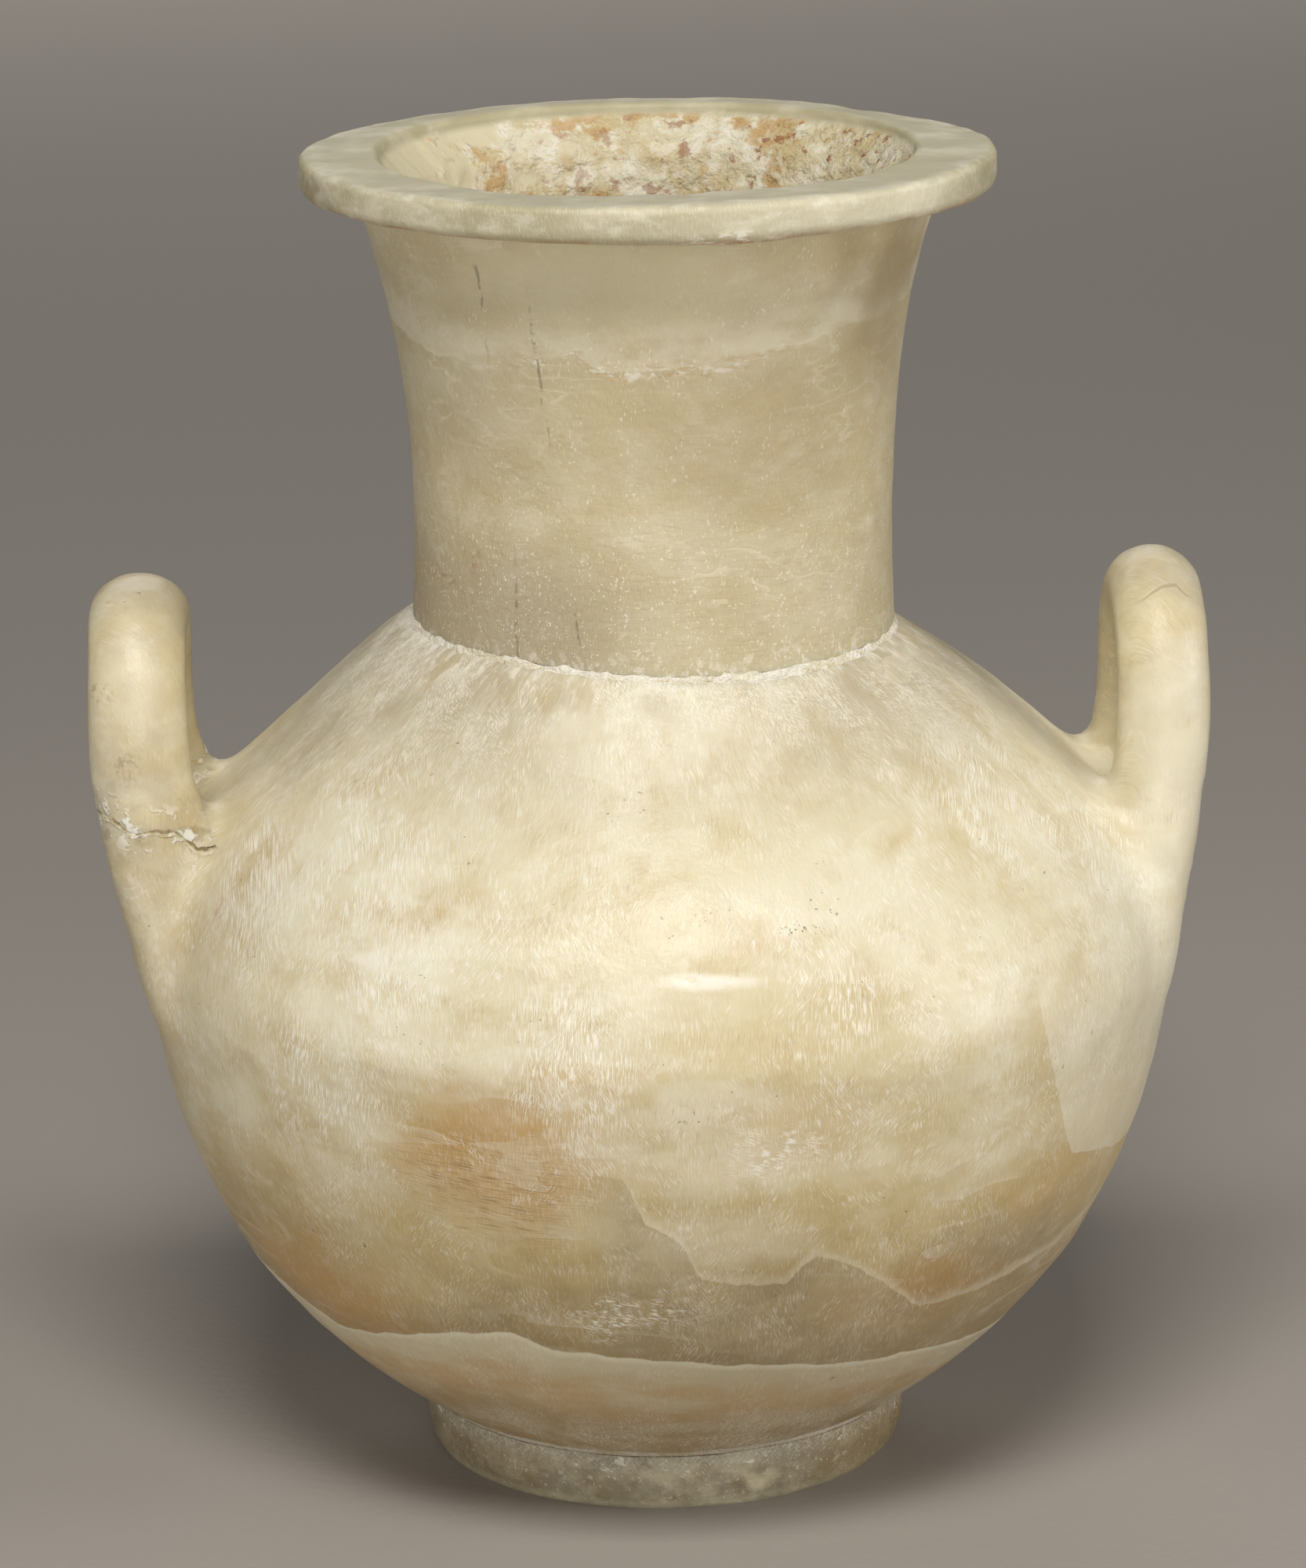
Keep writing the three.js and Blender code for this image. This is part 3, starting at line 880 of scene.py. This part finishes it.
def vessel_bands(s, c, on_handle, bare):
    """Cloudy bands laid down with the stone, with painted shade low down and at the sides, and painted light.
    """
    s.paint(s.clouds(44, 22, 0.45, 0.64, 4, 1), c.pale, 0.5)
    s.paint(s.clouds(34, 18, 0.5, 0.68, 4, 7), c.tan, 0.45)
    # Tan and, further down, brown on the lower belly: partly the stone's own tone, partly painted shade where
    # the belly turns under.
    lower_tone_and_shade_fog = s.clouds(40, 30, 0.3, 0.7, 3, 11)
    below = s.add("Math", {0: lower_tone_and_shade_fog, 1: 35 * MM, 2: s.z}, operation="MULTIPLY_ADD")
    s.paint(s.within(below, 158, 105), c.tan, 0.95)
    s.paint(s.within(below, 122, 66), c.low, 0.62)
    # Tan on the belly's left side: painted shade where it turns away from the lamps.
    s.paint(s.meet(s.within(s.x, -70, -125), s.clouds(50, 40, 0.3, 0.7, 2, 12)), c.tan, 0.42)
    s.paint(s.within(s.radius, 112, 70), c.grey, 0.75)
    s.paint(s.meet(on_handle, s.clouds(26, 18, 0.32, 0.66, 4, 4)), c.grey, 0.5)
    s.paint(s.meet(on_handle, s.clouds(14, 14, 0.4, 0.7, 4, 6)), c.tan, 0.35)
    # Pale patch on the front of the shoulder: paler stone, with painted light where the shoulder faces the
    # lamps.
    s.patches(c.pale, ((0, -80, 214), (56, 44, 22), 0.7))
    mottle = s.clouds(20, 11, 0.44, 0.68, 5, 3)
    s.paint(mottle, c.tan, 0.32)
    # The amber patch at (-88, -66, 66) is amber stone with a painted glow of light through the lower left
    # edge.
    s.patches(c.amber, ((-44, -124, 120), (38, 36, 30), 0.7), ((28, -130, 126), (34, 30, 18), 0.3),
              ((-88, -66, 66), (44, 50, 34), 0.75), ((64, -98, 74), (48, 40, 16), 0.55),
              ((110, 20, 90), (60, 70, 34), 0.5), ((-30, 120, 100), (60, 40, 30), 0.5),
              ((-22, -128, 140), (24, 20, 8), 0.3), ((-58, -104, 178), (34, 30, 7), 0.22),
              ((15, -120, 172), (12, 10, 6), 0.4), ((64, -98, 190), (14, 14, 6), 0.3))
    s.patches(c.grey, ((-96, -40, 206), (22, 44, 20), 0.7), ((90, -84, 84), (34, 50, 18), 0.4))
    s.patches(c.tan, ((26, -128, 148), (64, 40, 28), 0.4))
    # Brown patch low on the belly's right: painted shade.
    s.patches(c.low, ((84, -76, 64), (64, 64, 36), 0.45))
    s.patches(c.amber, ((100, -74, 98), (36, 50, 20), 0.4))
    s.patches(c.pale, ((10, -130, 119), (26, 24, 11), 0.4), ((8, -118, 98), (34, 26, 14), 0.4),
              ((134, -36, 188), (20, 40, 58), 0.6), ((-138, -40, 216), (14, 30, 16), 0.4),
              ((118, -60, 158), (24, 30, 30), 0.4), ((-60, -104, 150), (16, 22, 12), 0.3),
              ((-62, -105, 168), (34, 30, 10), 0.7), ((-86, -90, 150), (20, 24, 8), 0.5),
              ((-92, -80, 176), (20, 20, 24), 0.4), ((40, -110, 180), (60, 50, 14), 0.5),
              ((122, -30, 140), (20, 50, 26), 0.6), ((6, -131, 132), (30, 30, 8), 0.5))
    ripple = s.ripples(8, 34, 3, 8, 0.66)
    s.paint(s.meet(ripple, bare, s.clouds(45, 26, 0.46, 0.62, 2, 5)), c.pale, 0.3)
    return mottle


def vessel_layers(s, c):
    """Layers of the stone that the belly's curve has cut through, with painted shade below the lowest one."""
    tongue = s.beyond(s.x, s.z, TONGUE_EDGE, 1.2)
    fading = s.within(s.z, 168, 132)
    west = s.meet(s.within(tongue, 0.3, -0.3), s.within(tongue, -60, 0), s.within(s.x, 50, 95))
    s.paint(s.meet(west, fading), c.tan, 0.4)
    east = s.meet(s.within(tongue, -0.3, 0.3), s.within(s.x, 78, 90), fading)
    s.paint(east, c.pale, 0.6)
    s.paint(east, c.tan, 0.14)
    patch = s.beyond(s.x, s.z, PATCH_EDGE, 1.6)
    under = s.meet(s.within(patch, 0.5, -0.5), s.within(s.x, -26, -13), s.within(s.x, 95, 30))
    s.paint(under, c.grey, 0.36)
    s.paint(s.meet(under, s.clouds(18, 9, 0.4, 0.7, 4, 21)), c.low, 0.32)
    lip = s.meet(s.within(patch, 4, 0.4), s.within(patch, -0.3, 0.4), s.within(s.x, -18, -8))
    s.paint(lip, c.pale, 0.35)
    band = s.beyond(s.x, s.z, BAND_EDGE, 1.5, 9)
    s.paint(s.meet(s.within(band, 14, 0), s.within(band, -0.3, 0.3)), c.low, 0.35)
    s.paint(s.within(band, 0.5, -0.5), c.cream, 0.8)
    s.paint(s.meet(s.within(band, -2, -14), s.clouds(40, 9, 0.25, 0.6, 4, 31)), c.amber, 0.7)
    # Brown further below the band's edge, towards the foot, and over the band's middle and right: painted
    # shade under the belly.
    s.paint(s.within(band, -14, -32), c.low, 0.5)
    s.paint(s.meet(s.within(band, 0.5, -0.5), s.within(s.x, -30, 60)), c.low, 0.3)
    s.paint(s.meet(s.near(band, 2.4), s.within(band, 0.3, -0.3)), c.pale, 0.6)


def vessel_fibres(s, c, bare, mottle):
    """Crystal fibres, in feathery tufts, and painted highlights on the front of the belly."""
    lively = s.meet(bare, s.add("MapRange", {0: s.z, 1: 60 * MM, 2: 130 * MM, 3: 0.45, 4: 1}))
    tufts = s.meet(s.clouds(18, 16, 0.44, 0.66, 4, 15), lively)
    fine = s.clouds(2.2, 3.6, 0.4, 0.8, 4, 19)
    s.paint(s.meet(fine, tufts), c.fleck_and_highlight, 0.3)
    upright = s.strokes(0.34, 3.6, 4, 0.58, 0.7)
    s.paint(s.meet(upright, lively), c.fleck_and_highlight, 0.16)
    tufted = s.meet(upright, tufts)
    s.paint(tufted, c.fleck_and_highlight, 0.55)
    zone = s.join(*[s.blotch(centre, reach) for centre, reach in (
        ((-78, -84, 192), (42, 50, 40)), ((-104, -66, 164), (22, 40, 30)), ((-84, -96, 130), (30, 30, 34)),
        ((92, -70, 196), (44, 54, 32)), ((114, -54, 170), (22, 36, 32)), ((-28, -132, 146), (30, 24, 34)),
        ((-70, -106, 160), (26, 26, 26)), ((40, -122, 156), (20, 24, 16)))])
    zone = s.meet(zone, s.clouds(9, 12, 0.38, 0.52, 3, 42))
    s.paint(s.meet(s.strokes(0.26, 4, -3, 0.52, 0.6, 41, s.facing), zone), c.fleck_and_highlight, 0.9)
    leaning = s.meet(s.clouds(20, 14, 0.48, 0.64, 3, 23), lively)
    s.paint(s.meet(s.strokes(0.32, 3, 30, 0.58, 0.68, 5), leaning), c.fleck_and_highlight, 0.7)
    backward = s.meet(s.clouds(18, 13, 0.5, 0.64, 3, 29), lively)
    s.paint(s.meet(s.strokes(0.32, 3, -34, 0.58, 0.68, 9), backward), c.fleck_and_highlight, 0.65)
    s.paint(s.meet(s.strokes(0.4, 5, -6, 0.58, 0.74, 13), mottle), c.low, 0.25)
    scratched = s.blotch((-46, -122, 111), (36, 30, 22))
    s.paint(s.meet(s.strokes(0.3, 8, 84, 0.56, 0.66, 61), scratched), c.low, 0.6)
    chalky = s.join(s.blotch((25, -131, 121), (22, 14, 8)), s.blotch((-11, -119, 77), (26, 16, 10)))
    chalky = s.meet(chalky, s.clouds(4, 2.6, 0.4, 0.54, 3, 72))
    s.paint(s.meet(chalky, s.strokes(0.4, 2.6, 72, 0.46, 0.6, 71)), c.fleck_and_highlight, 0.9)
    # Painted highlights: white streaks where the softboxes shine on the front of the belly.
    for centre, reach, share in (((8, -129, 165), (17, 12, 2.6), 0.8),
                                 ((-76, -103, 165.5), (8, 10, 2.4), 0.6),
                                 ((2, -129, 166), (9, 12, 2), 0.6)):
        s.paint(s.meet(s.blotch(centre, reach, False), s.clouds(6, 2.4, 0.2, 0.5, 2, 55)), c.fleck_and_highlight, share)
    return fine, tufted


def vessel_scuffs(s, c):
    """Scuffs and chalk left round the neck's joint and the handle's root."""
    inward = s.within(s.radius, 104, 72)
    seat = s.meet(inward, s.clouds(22, 12, 0.4, 0.58, 3, 39))
    s.paint(s.meet(s.strokes(0.2, 2.4, 68, 0.56, 0.64, 17), seat), c.fleck_and_highlight, 0.7)
    s.paint(s.meet(s.strokes(0.2, 2.4, -36, 0.56, 0.64, 21), seat), c.fleck_and_highlight, 0.6)
    s.patches(c.low, ((-110, -56, 176), (30, 40, 46), 0.16))
    root = s.meet(s.blotch((-104, -61, 176), (20, 30, 24), False), s.clouds(7, 12, 0.36, 0.56, 3, 33))
    s.paint(s.meet(root, s.strokes(0.28, 5, -4, 0.5, 0.6, 31, s.facing)), c.fleck_and_highlight, 0.95)
    joint = s.meet(s.within(s.z, 216, 228), s.within(s.radius, 84, 66))
    smear = s.meet(joint, s.clouds(6, 3, 0.46, 0.64, 4, 41))
    s.paint(smear, c.gypsum, 0.7)
    return smear


def vessel_breaks(s, c, proud):
    """Filler dabbed along the mended break, a crack in the whole handle, and wear on the loop."""
    broken = s.meet(s.within(s.x, -112, -116), s.within(proud, 1, 3))
    mend = s.beyond(s.x, s.z, NEAR_BREAK, 0.8, 3)
    dabs = s.meet(s.near(mend, 9), broken, s.clouds(5, 4, 0.52, 0.6, 3, 45, s.place))
    s.paint(s.meet(s.near(mend, 14), broken, s.clouds(9, 6, 0.5, 0.66, 4, 46, s.place)), c.low, 0.5)
    s.paint(dabs, c.gypsum, 0.9)
    hair = s.beyond(s.x, s.z, HANDLE_CRACK, 0.5, 4)
    crack = s.meet(s.near(hair, 0.5), s.within(s.x, 122, 130), s.within(s.x, 141, 136))
    s.paint(crack, c.low, 0.35)
    worn = s.join(s.blotch((-138, -46, 198), (7, 20, 7), False),
                  s.blotch((-145, -38, 216), (6, 20, 5), False))
    s.paint(s.meet(worn, s.clouds(1.6, 1.6, 0.5, 0.6, 3, 47, s.place)), c.low, 0.8)
    return dabs, crack


def vessel_stains(s, c, fine):
    """Stains and specks of dirt."""
    for centre, reach, colour, share in (((-114, -58, 166), (3.6, 6, 4.4), c.rust, 0.8),
                                         ((-82, -81, 183), (5, 8, 2.8), c.amber, 0.9),
                                         ((6.6, -119, 178.5), (7, 8, 4.5), c.amber, 0.5)):
        s.paint(s.meet(s.blotch(centre, reach, False), fine), colour, share)
    pits = s.meet(s.clouds(1.6, 1.6, 0.68, 0.72, 2, 49, s.place), s.clouds(24, 14, 0.6, 0.66, 2, 51))
    s.paint(pits, c.dirt, 0.6)
    for centre, reach in (((76, -103, 167.3), (2.6, 5, 1.8)), ((30, -118, 175), (9, 8, 2.6)),
                          ((45, -123, 161), (4, 6, 2.4)), ((125, -46, 235.5), (3.4, 8, 2.4)),
                          ((7, -119, 179), (5, 6, 3))):
        speck = s.meet(s.blotch(centre, reach, False), s.clouds(0.8, 0.8, 0.64, 0.68, 1, 53, s.place))
        s.paint(speck, c.dirt, 0.75)


def travertine_neck():
    """Turned travertine of the neck, with a rim left rough and a bore eaten by what it held.

    The drill left the bore granular, salts have loosened its grains, and iron has stained them.
    """
    c = colours()
    s = Surface("banded_travertine", c.neck, 0.45)
    neck_bands(s, c)
    neck_flecks(s, c)
    neck_cracks(s, c)
    rim = rim_stone(s, c)
    bore = bore_stone(s, c)
    s.raised(s.meet(bore, s.clouds(4, 4, 0.3, 0.7, 3, 78, s.place)), 0.8)
    s.raised(s.clouds(2.6, 2.6, 0.3, 0.7, 2, 57, s.place), 0.08)
    s.rough(rim, 0.55)
    s.rough(bore, 0.8)
    return s.finish(0.3)


def neck_bands(s, c):
    """Cloudy bands, painted shade on the neck's lower left, and a white vein under the rim."""
    s.paint(s.clouds(60, 16, 0.4, 0.66, 4, 2), c.pale, 0.3)
    s.paint(s.clouds(45, 14, 0.48, 0.74, 4, 8), c.tan, 0.35)
    s.paint(s.clouds(24, 8, 0.5, 0.76, 5, 14), c.fleck_and_highlight, 0.22)
    # Brown and grey on the neck's lower left: painted shade on the side turned from the lamps.
    s.paint(s.meet(s.within(s.z, 268, 236), s.within(s.x, 4, -40)), c.low, 0.5)
    s.paint(s.meet(s.within(s.z, 262, 240), s.within(s.x, 10, -30)), c.grey, 0.5)
    s.paint(s.within(s.z, 270, 236), c.grey, 0.2)
    s.paint(s.meet(s.ripples(9, 55, 4, 9, 0.72), s.clouds(40, 22, 0.45, 0.65, 3, 5)), c.pale, 0.4)
    vein = s.beyond(s.x, s.z, NECK_VEIN, 2.2, 7)
    above = s.meet(s.within(vein, -0.2, 0.5), s.within(vein, 16, 3))
    s.paint(s.meet(above, s.clouds(30, 8, 0.3, 0.6, 4, 25)), c.pale, 0.6)
    mid = s.meet(s.within(s.x, -62, -26), s.within(s.x, 46, 18))
    lace = s.meet(s.near(vein, 2.2), mid, s.clouds(3.5, 1.6, 0.5, 0.6, 3, 27, s.place))
    s.paint(lace, c.fleck_and_highlight, 0.7)
    s.paint(s.meet(s.near(vein, 3.4), mid, s.clouds(6, 2, 0.5, 0.62, 3, 35, s.place)), c.amber, 0.4)
    s.patches(c.gypsum, ((-8.4, -65.3, 301.3), (2.6, 3, 2.6), 0.9))


def neck_flecks(s, c):
    """Crystal flecks, turning marks, chalk from the joint, darker patches and painted light under the rim."""
    s.paint(s.strokes(0.24, 2.4, 3, 0.56, 0.68), c.fleck_and_highlight, 0.2)
    s.paint(s.meet(s.strokes(0.5, 16, 88, 0.56, 0.74, 7), s.within(s.z, 300, 255)), c.low, 0.14)
    s.paint(s.meet(s.crescents(1.9), s.within(s.z, 295, 245)), c.fleck_and_highlight, 0.5)
    tiny = s.meet(s.clouds(0.8, 1.4, 0.64, 0.7, 1, 47, s.place), s.clouds(12, 12, 0.42, 0.6, 1, 48))
    s.paint(tiny, c.fleck_and_highlight, 0.5)
    s.paint(s.meet(s.within(s.z, 233, 228), s.clouds(5, 3, 0.52, 0.66, 4, 41)), c.gypsum, 0.45)
    s.patches(c.low, ((-44, -50, 285), (30, 40, 26), 0.2), ((60, -40, 300), (22, 40, 14), 0.25),
              ((62, -44, 322), (28, 44, 26), 0.7))
    # Cream patch high on the neck's front: painted light where the rim's shadow falls.
    s.patches(c.cream, ((-16, -70, 326), (60, 40, 20), 0.75))
    s.patches(c.low, ((24, -60, 284), (50, 40, 36), 0.3))


def neck_cracks(s, c):
    """Two dotted cracks on the front, each in a low and a high stretch of levels, and a rust spot."""
    front = s.within(s.y, -10, -20)
    for points, waver, low, high in ((LEFT_CRACK, 0.7, ((225, 229), (262, 240)), ((300, 318), (336, 330))),
                                     (MIDDLE_CRACK, 0.8, ((230, 236), (250, 240)), ((282, 292), (330, 312)))):
        side = s.beyond(s.z, s.x, points, waver, 5)
        where = s.join(*[s.meet(*[s.within(s.z, *fade) for fade in fades]) for fades in (low, high)])
        dots = s.clouds(1.3, 2.6, 0.46, 0.56, 2, 59, s.place)
        s.paint(s.meet(s.near(side, 0.6), dots, where, front), c.dirt, 0.5)
    crumbs = s.clouds(2.5, 1.2, 0.5, 0.6, 3, 61, s.place)
    s.paint(s.meet(s.blotch((-50, -36, 249), (8, 8, 3.4)), crumbs), c.rust, 0.7)


def rim_stone(s, c):
    """The rim's rubbed edge, a flaked front with painted shadow under it, and a rust-brown seam under the
    edge.
    """
    rim = s.within(s.z, 339, 341)
    s.paint(rim, c.rim, 0.85)
    s.paint(s.meet(rim, s.clouds(24, 14, 0.42, 0.7, 3, 63, s.place)), c.pale, 0.45)
    s.paint(s.meet(rim, s.clouds(20, 12, 0.5, 0.76, 3, 65, s.place)), c.grey, 0.3)
    facing = s.meet(rim, s.within(s.radius, 82, 88), s.within(s.y, -30, -70))
    s.paint(s.meet(facing, s.within(s.x, -30, 40)), c.pale, 0.4)
    bristle = s.meet(rim, s.within(s.radius, 84, 88), s.strokes(0.34, 2.4, 12, 0.58, 0.7, 25))
    s.paint(bristle, c.fleck_and_highlight, 0.26)
    edge = s.meet(s.within(s.z, 341, 345), s.within(s.radius, 82, 87))
    s.paint(s.meet(edge, s.clouds(9, 4, 0.46, 0.66, 3, 66, s.place)), c.fleck_and_highlight, 0.3)
    # A rust-brown seam along the underside of the rim's edge.
    seam = s.meet(s.within(s.z, 338.8, 340.2), s.within(s.z, 342.2, 340.8), s.within(s.radius, 80, 84))
    s.paint(s.meet(seam, s.clouds(12, 12, 0.42, 0.6, 2, 67, s.place)), c.rust, 0.4)
    s.patches(c.low, ((-86, -24, 343), (8, 12, 5), 0.5))
    flakes = s.clouds(3.4, 1.4, 0.5, 0.58, 3, 64, s.place)
    s.paint(s.meet(s.blotch((20, -88, 341), (20, 9, 3.4), False), flakes), c.fleck_and_highlight, 0.8)
    # Brown line under the front flakes: painted shadow under the chipped edge.
    chip_shadow_fog = s.clouds(5, 5, 0.44, 0.54, 2, 62, s.place)
    s.paint(s.meet(s.blotch((20, -88, 339.9), (20, 9, 1.1), False), chip_shadow_fog), c.rust, 0.65)
    return rim


def bore_stone(s, c):
    """The bore's loose grains and iron stains, with a stretch left whole at the left of the mouth."""
    within_wall = 0.55 * sizes().neck_wall
    heights = [neck_height() * i / 12 for i in range(13)]
    skin = [((NECK_LEVEL + h) / MM, (neck_radius(h) - within_wall) / MM) for h in heights]
    lip = sizes().mouth_radius / MM + 4.5
    skin += [(TOP_LEVEL / MM - 6.5, lip), (TOP_LEVEL / MM, lip)]
    depth = s.beyond(s.z, s.radius, skin, 0)
    inside = s.within(depth, 0.6, -0.6)
    bore = s.meet(inside, s.within(s.z, 348, 346))
    s.paint(bore, c.cream, 0.9)
    fog = s.clouds(16, 16, 0.3, 0.7, 3, 66, s.place)
    whole = s.add("Math", {0: fog, 1: 36 * MM, 2: s.x}, operation="MULTIPLY_ADD")
    whole = s.meet(s.within(whole, -20, -32), s.within(s.z, 322, 332))
    bore = s.meet(bore, s.add("Math", {0: 1, 1: whole}, operation="SUBTRACT"))
    s.paint(s.meet(bore, s.clouds(22, 14, 0.42, 0.62, 4, 68, s.place)), c.fleck_and_highlight, 0.4)
    s.paint(s.meet(bore, s.clouds(12, 12, 0.44, 0.62, 5, 69, s.place)), c.tan, 0.65)
    s.paint(s.meet(bore, s.clouds(5, 6, 0.5, 0.62, 4, 70, s.place)), c.fleck_and_highlight, 0.55)
    s.paint(s.meet(bore, s.clouds(13, 12, 0.54, 0.62, 5, 71, s.place)), c.amber, 0.7)
    eastward = s.add("MapRange", {0: s.x, 1: -70 * MM, 2: 50 * MM})
    stain = s.meet(bore, s.clouds(5, 5, 0.58, 0.64, 5, 73, s.place), eastward)
    s.paint(stain, c.rust, 0.85)
    return bore


def travertine_foot():
    """Grey-green travertine of the foot, chipped and scratched white along its upper edge, with painted shade
    at its sides.
    """
    c = colours()
    s = Surface("grey_travertine", c.foot, 0.5)
    s.paint(s.clouds(22, 9, 0.42, 0.66, 5, 4), c.cream, 0.5)
    s.paint(s.clouds(16, 8, 0.5, 0.7, 5, 9), c.low, 0.5)
    # Brown towards the foot's left: painted shade.
    s.paint(s.within(s.x, -24, -48), c.low, 0.45)
    s.paint(s.within(s.z, 3.5, 1), c.cream, 0.35)
    # Brown towards the foot's right: painted shade.
    s.paint(s.within(s.x, 20, 58), c.low, 0.75)
    edge = s.within(s.z, 9, 15)
    scuffs = s.meet(s.strokes(0.3, 4, 60, 0.52, 0.64), edge)
    s.paint(scuffs, c.fleck_and_highlight, 0.4)
    s.paint(s.meet(s.strokes(0.3, 5, -66, 0.52, 0.64, 5), edge), c.fleck_and_highlight, 0.35)
    chips = s.meet(s.clouds(5, 3, 0.6, 0.66, 3, 12, s.place), s.within(s.z, 4, 13))
    s.paint(chips, c.fleck_and_highlight, 0.7)
    s.paint(s.crescents(2), c.fleck_and_highlight, 0.4)
    s.patches(c.cream, ((20, -61, 7), (9, 8, 5), 0.7))
    s.raised(scuffs, 0.1)
    s.raised(chips, 0.15)
    s.raised(s.clouds(3, 3, 0.3, 0.7, 4, 57, s.place), 0.25)
    s.rough(chips, 0.7)
    return s.finish(0.25)


def gypsum_plaster():
    """Gypsum plaster pressed into the joints, chalky and crumbling, dirty where fingers reached it."""
    found = bpy.data.materials.get("gypsum_plaster")
    if found:
        return found
    c = colours()
    s = Surface("gypsum_plaster", c.gypsum, 0.9)
    s.paint(s.clouds(12, 6, 0.45, 0.62, 4, 6, s.place), c.cream, 0.8)
    s.paint(s.clouds(5, 2, 0.55, 0.68, 4, 16, s.place), c.tan, 0.6)
    s.paint(s.within(s.z, 40, 20), c.low, 0.5)
    s.raised(s.clouds(1.2, 1.2, 0.35, 0.7, 3, 26, s.place), 0.4)
    return s.finish()


def crumbled_filler():
    """Old filler in the mended breaks, rubbed level with the stone, with white crumbs and a brown seam."""
    c = colours()
    s = Surface("crumbled_filler", c.cream, 0.7)
    s.paint(s.clouds(7, 5, 0.45, 0.6, 3, 6, s.place), c.tan, 0.7)
    s.paint(s.clouds(4, 3, 0.54, 0.6, 3, 45, s.place), c.gypsum, 0.95)
    seam = s.beyond(s.x, s.z, NEAR_BREAK, 0.9, 3)
    s.paint(s.meet(s.near(seam, 1), s.clouds(5, 5, 0.36, 0.5, 2, 60, s.place)), c.low, 0.9)
    s.paint(s.meet(s.near(seam, 0.5), s.clouds(5, 5, 0.46, 0.54, 2, 61, s.place)), c.dirt, 0.35)
    s.raised(s.clouds(1.2, 1.2, 0.35, 0.7, 3, 26, s.place), 0.3)
    return s.finish()


def matt_floor_paint():
    """Studio floor rolled with matt paint, whose faint orange peel breaks up the shadow's edge."""
    s = Surface("matt_floor_paint", colours().floor, 0.9)
    s.raised(s.clouds(4, 4, 0.3, 0.7, 2, 0, s.place), 0.05)
    return s.finish()


# Stage


def area_light(name, place, aim, size, power):
    """Hangs a warm white softbox at a place and turns it to its aim."""
    place = Vector(place)
    lamp = bpy.data.lights.new(name, "AREA")
    lamp.shape = "RECTANGLE"
    lamp.size, lamp.size_y = size
    lamp.energy = power
    lamp.color = linear("#fffcf8")[:3]
    light = bpy.data.objects.new(name, lamp)
    turned = (place - Vector(aim)).to_track_quat("Z", "Y").to_matrix().to_4x4()
    light.matrix_world = Matrix.Translation(place) @ turned
    bpy.context.scene.collection.objects.link(light)


class JAR_OT_stage(bpy.types.Operator):
    """Lays the floor, sets the soft lights and places the camera"""

    bl_idname = "jar.stage"
    bl_label = "Floor, Lights and Camera"

    def execute(self, context):
        scene = context.scene
        bm = bmesh.new()
        bmesh.ops.create_circle(bm, cap_ends=True, segments=96, radius=9)
        ground = new_piece("studio_floor", bm)
        ground.data.materials.append(matt_floor_paint())

        world = bpy.data.worlds.new("studio")
        world.use_nodes = True
        sky = world.node_tree.nodes["Background"].inputs
        sky["Color"].default_value = linear("#f4f2ee")
        sky["Strength"].default_value = 0.03
        scene.world = world
        middle = (0, 0, 0.17)
        area_light("key_softbox", (-0.1, -1.3, 2.05), middle, (0.9, 0.6), 37)
        area_light("left_softbox", (-2.0, -0.9, 0.5), middle, (0.9, 0.8), 9)
        area_light("right_softbox", (2.0, -0.7, 0.75), middle, (0.9, 0.8), 16.5)
        area_light("front_softbox", (0.2, -2.4, 0.5), middle, (1.2, 0.6), 13.5)
        area_light("floor_softbox", (-0.5, 4.8, 2.4), (-0.5, 4.8, 0), (3.4, 1.6), 98)

        lens = bpy.data.cameras.new("photo_camera")
        lens.sensor_fit = "VERTICAL"
        lens.sensor_height = 36
        lens.lens = 138.6
        camera = bpy.data.objects.new("photo_camera", lens)
        pan, look_down, roll = -2.2, 15.43, -0.85
        place = Vector((-59.99, -1537.41, 604.9)) * MM
        camera.matrix_world = Matrix.Translation(place)
        for angle, axis in ((pan, "Z"), (90 - look_down, "X"), (roll, "Z")):
            camera.matrix_world = camera.matrix_world @ Matrix.Rotation(math.radians(angle), 4, axis)
        scene.collection.objects.link(camera)
        scene.camera = camera
        scene.view_settings.view_transform = "Standard"
        return {"FINISHED"}


class JAR_PT_panel(bpy.types.Panel):
    """Lists the jar's operators and its sizes and colours"""

    bl_idname = "JAR_PT_panel"
    bl_label = "Stone Ointment Jar"
    bl_space_type = "VIEW_3D"
    bl_region_type = "UI"
    bl_category = "Stone Jar"

    def draw(self, context):
        for operator in OPERATORS:
            self.layout.operator(operator.bl_idname)
        for group in (context.scene.jar_sizes, context.scene.jar_colours):
            for key in group.bl_rna.properties.keys():
                if key not in ("rna_type", "name"):
                    self.layout.prop(group, key)


OPERATORS = (JAR_OT_stage, JAR_OT_foot, JAR_OT_vessel, JAR_OT_neck)
CLASSES = (JarSizes, JarColours, *OPERATORS, JAR_PT_panel)


def register():
    for cls in CLASSES:
        bpy.utils.register_class(cls)
    bpy.types.Scene.jar_sizes = bpy.props.PointerProperty(type=JarSizes)
    bpy.types.Scene.jar_colours = bpy.props.PointerProperty(type=JarColours)


def unregister():
    del bpy.types.Scene.jar_colours
    del bpy.types.Scene.jar_sizes
    for cls in reversed(CLASSES):
        bpy.utils.unregister_class(cls)


def main():
    register()
    for operator in OPERATORS:
        group, action = operator.bl_idname.split(".")
        getattr(getattr(bpy.ops, group), action)()


if __name__ == "__main__":
    main()
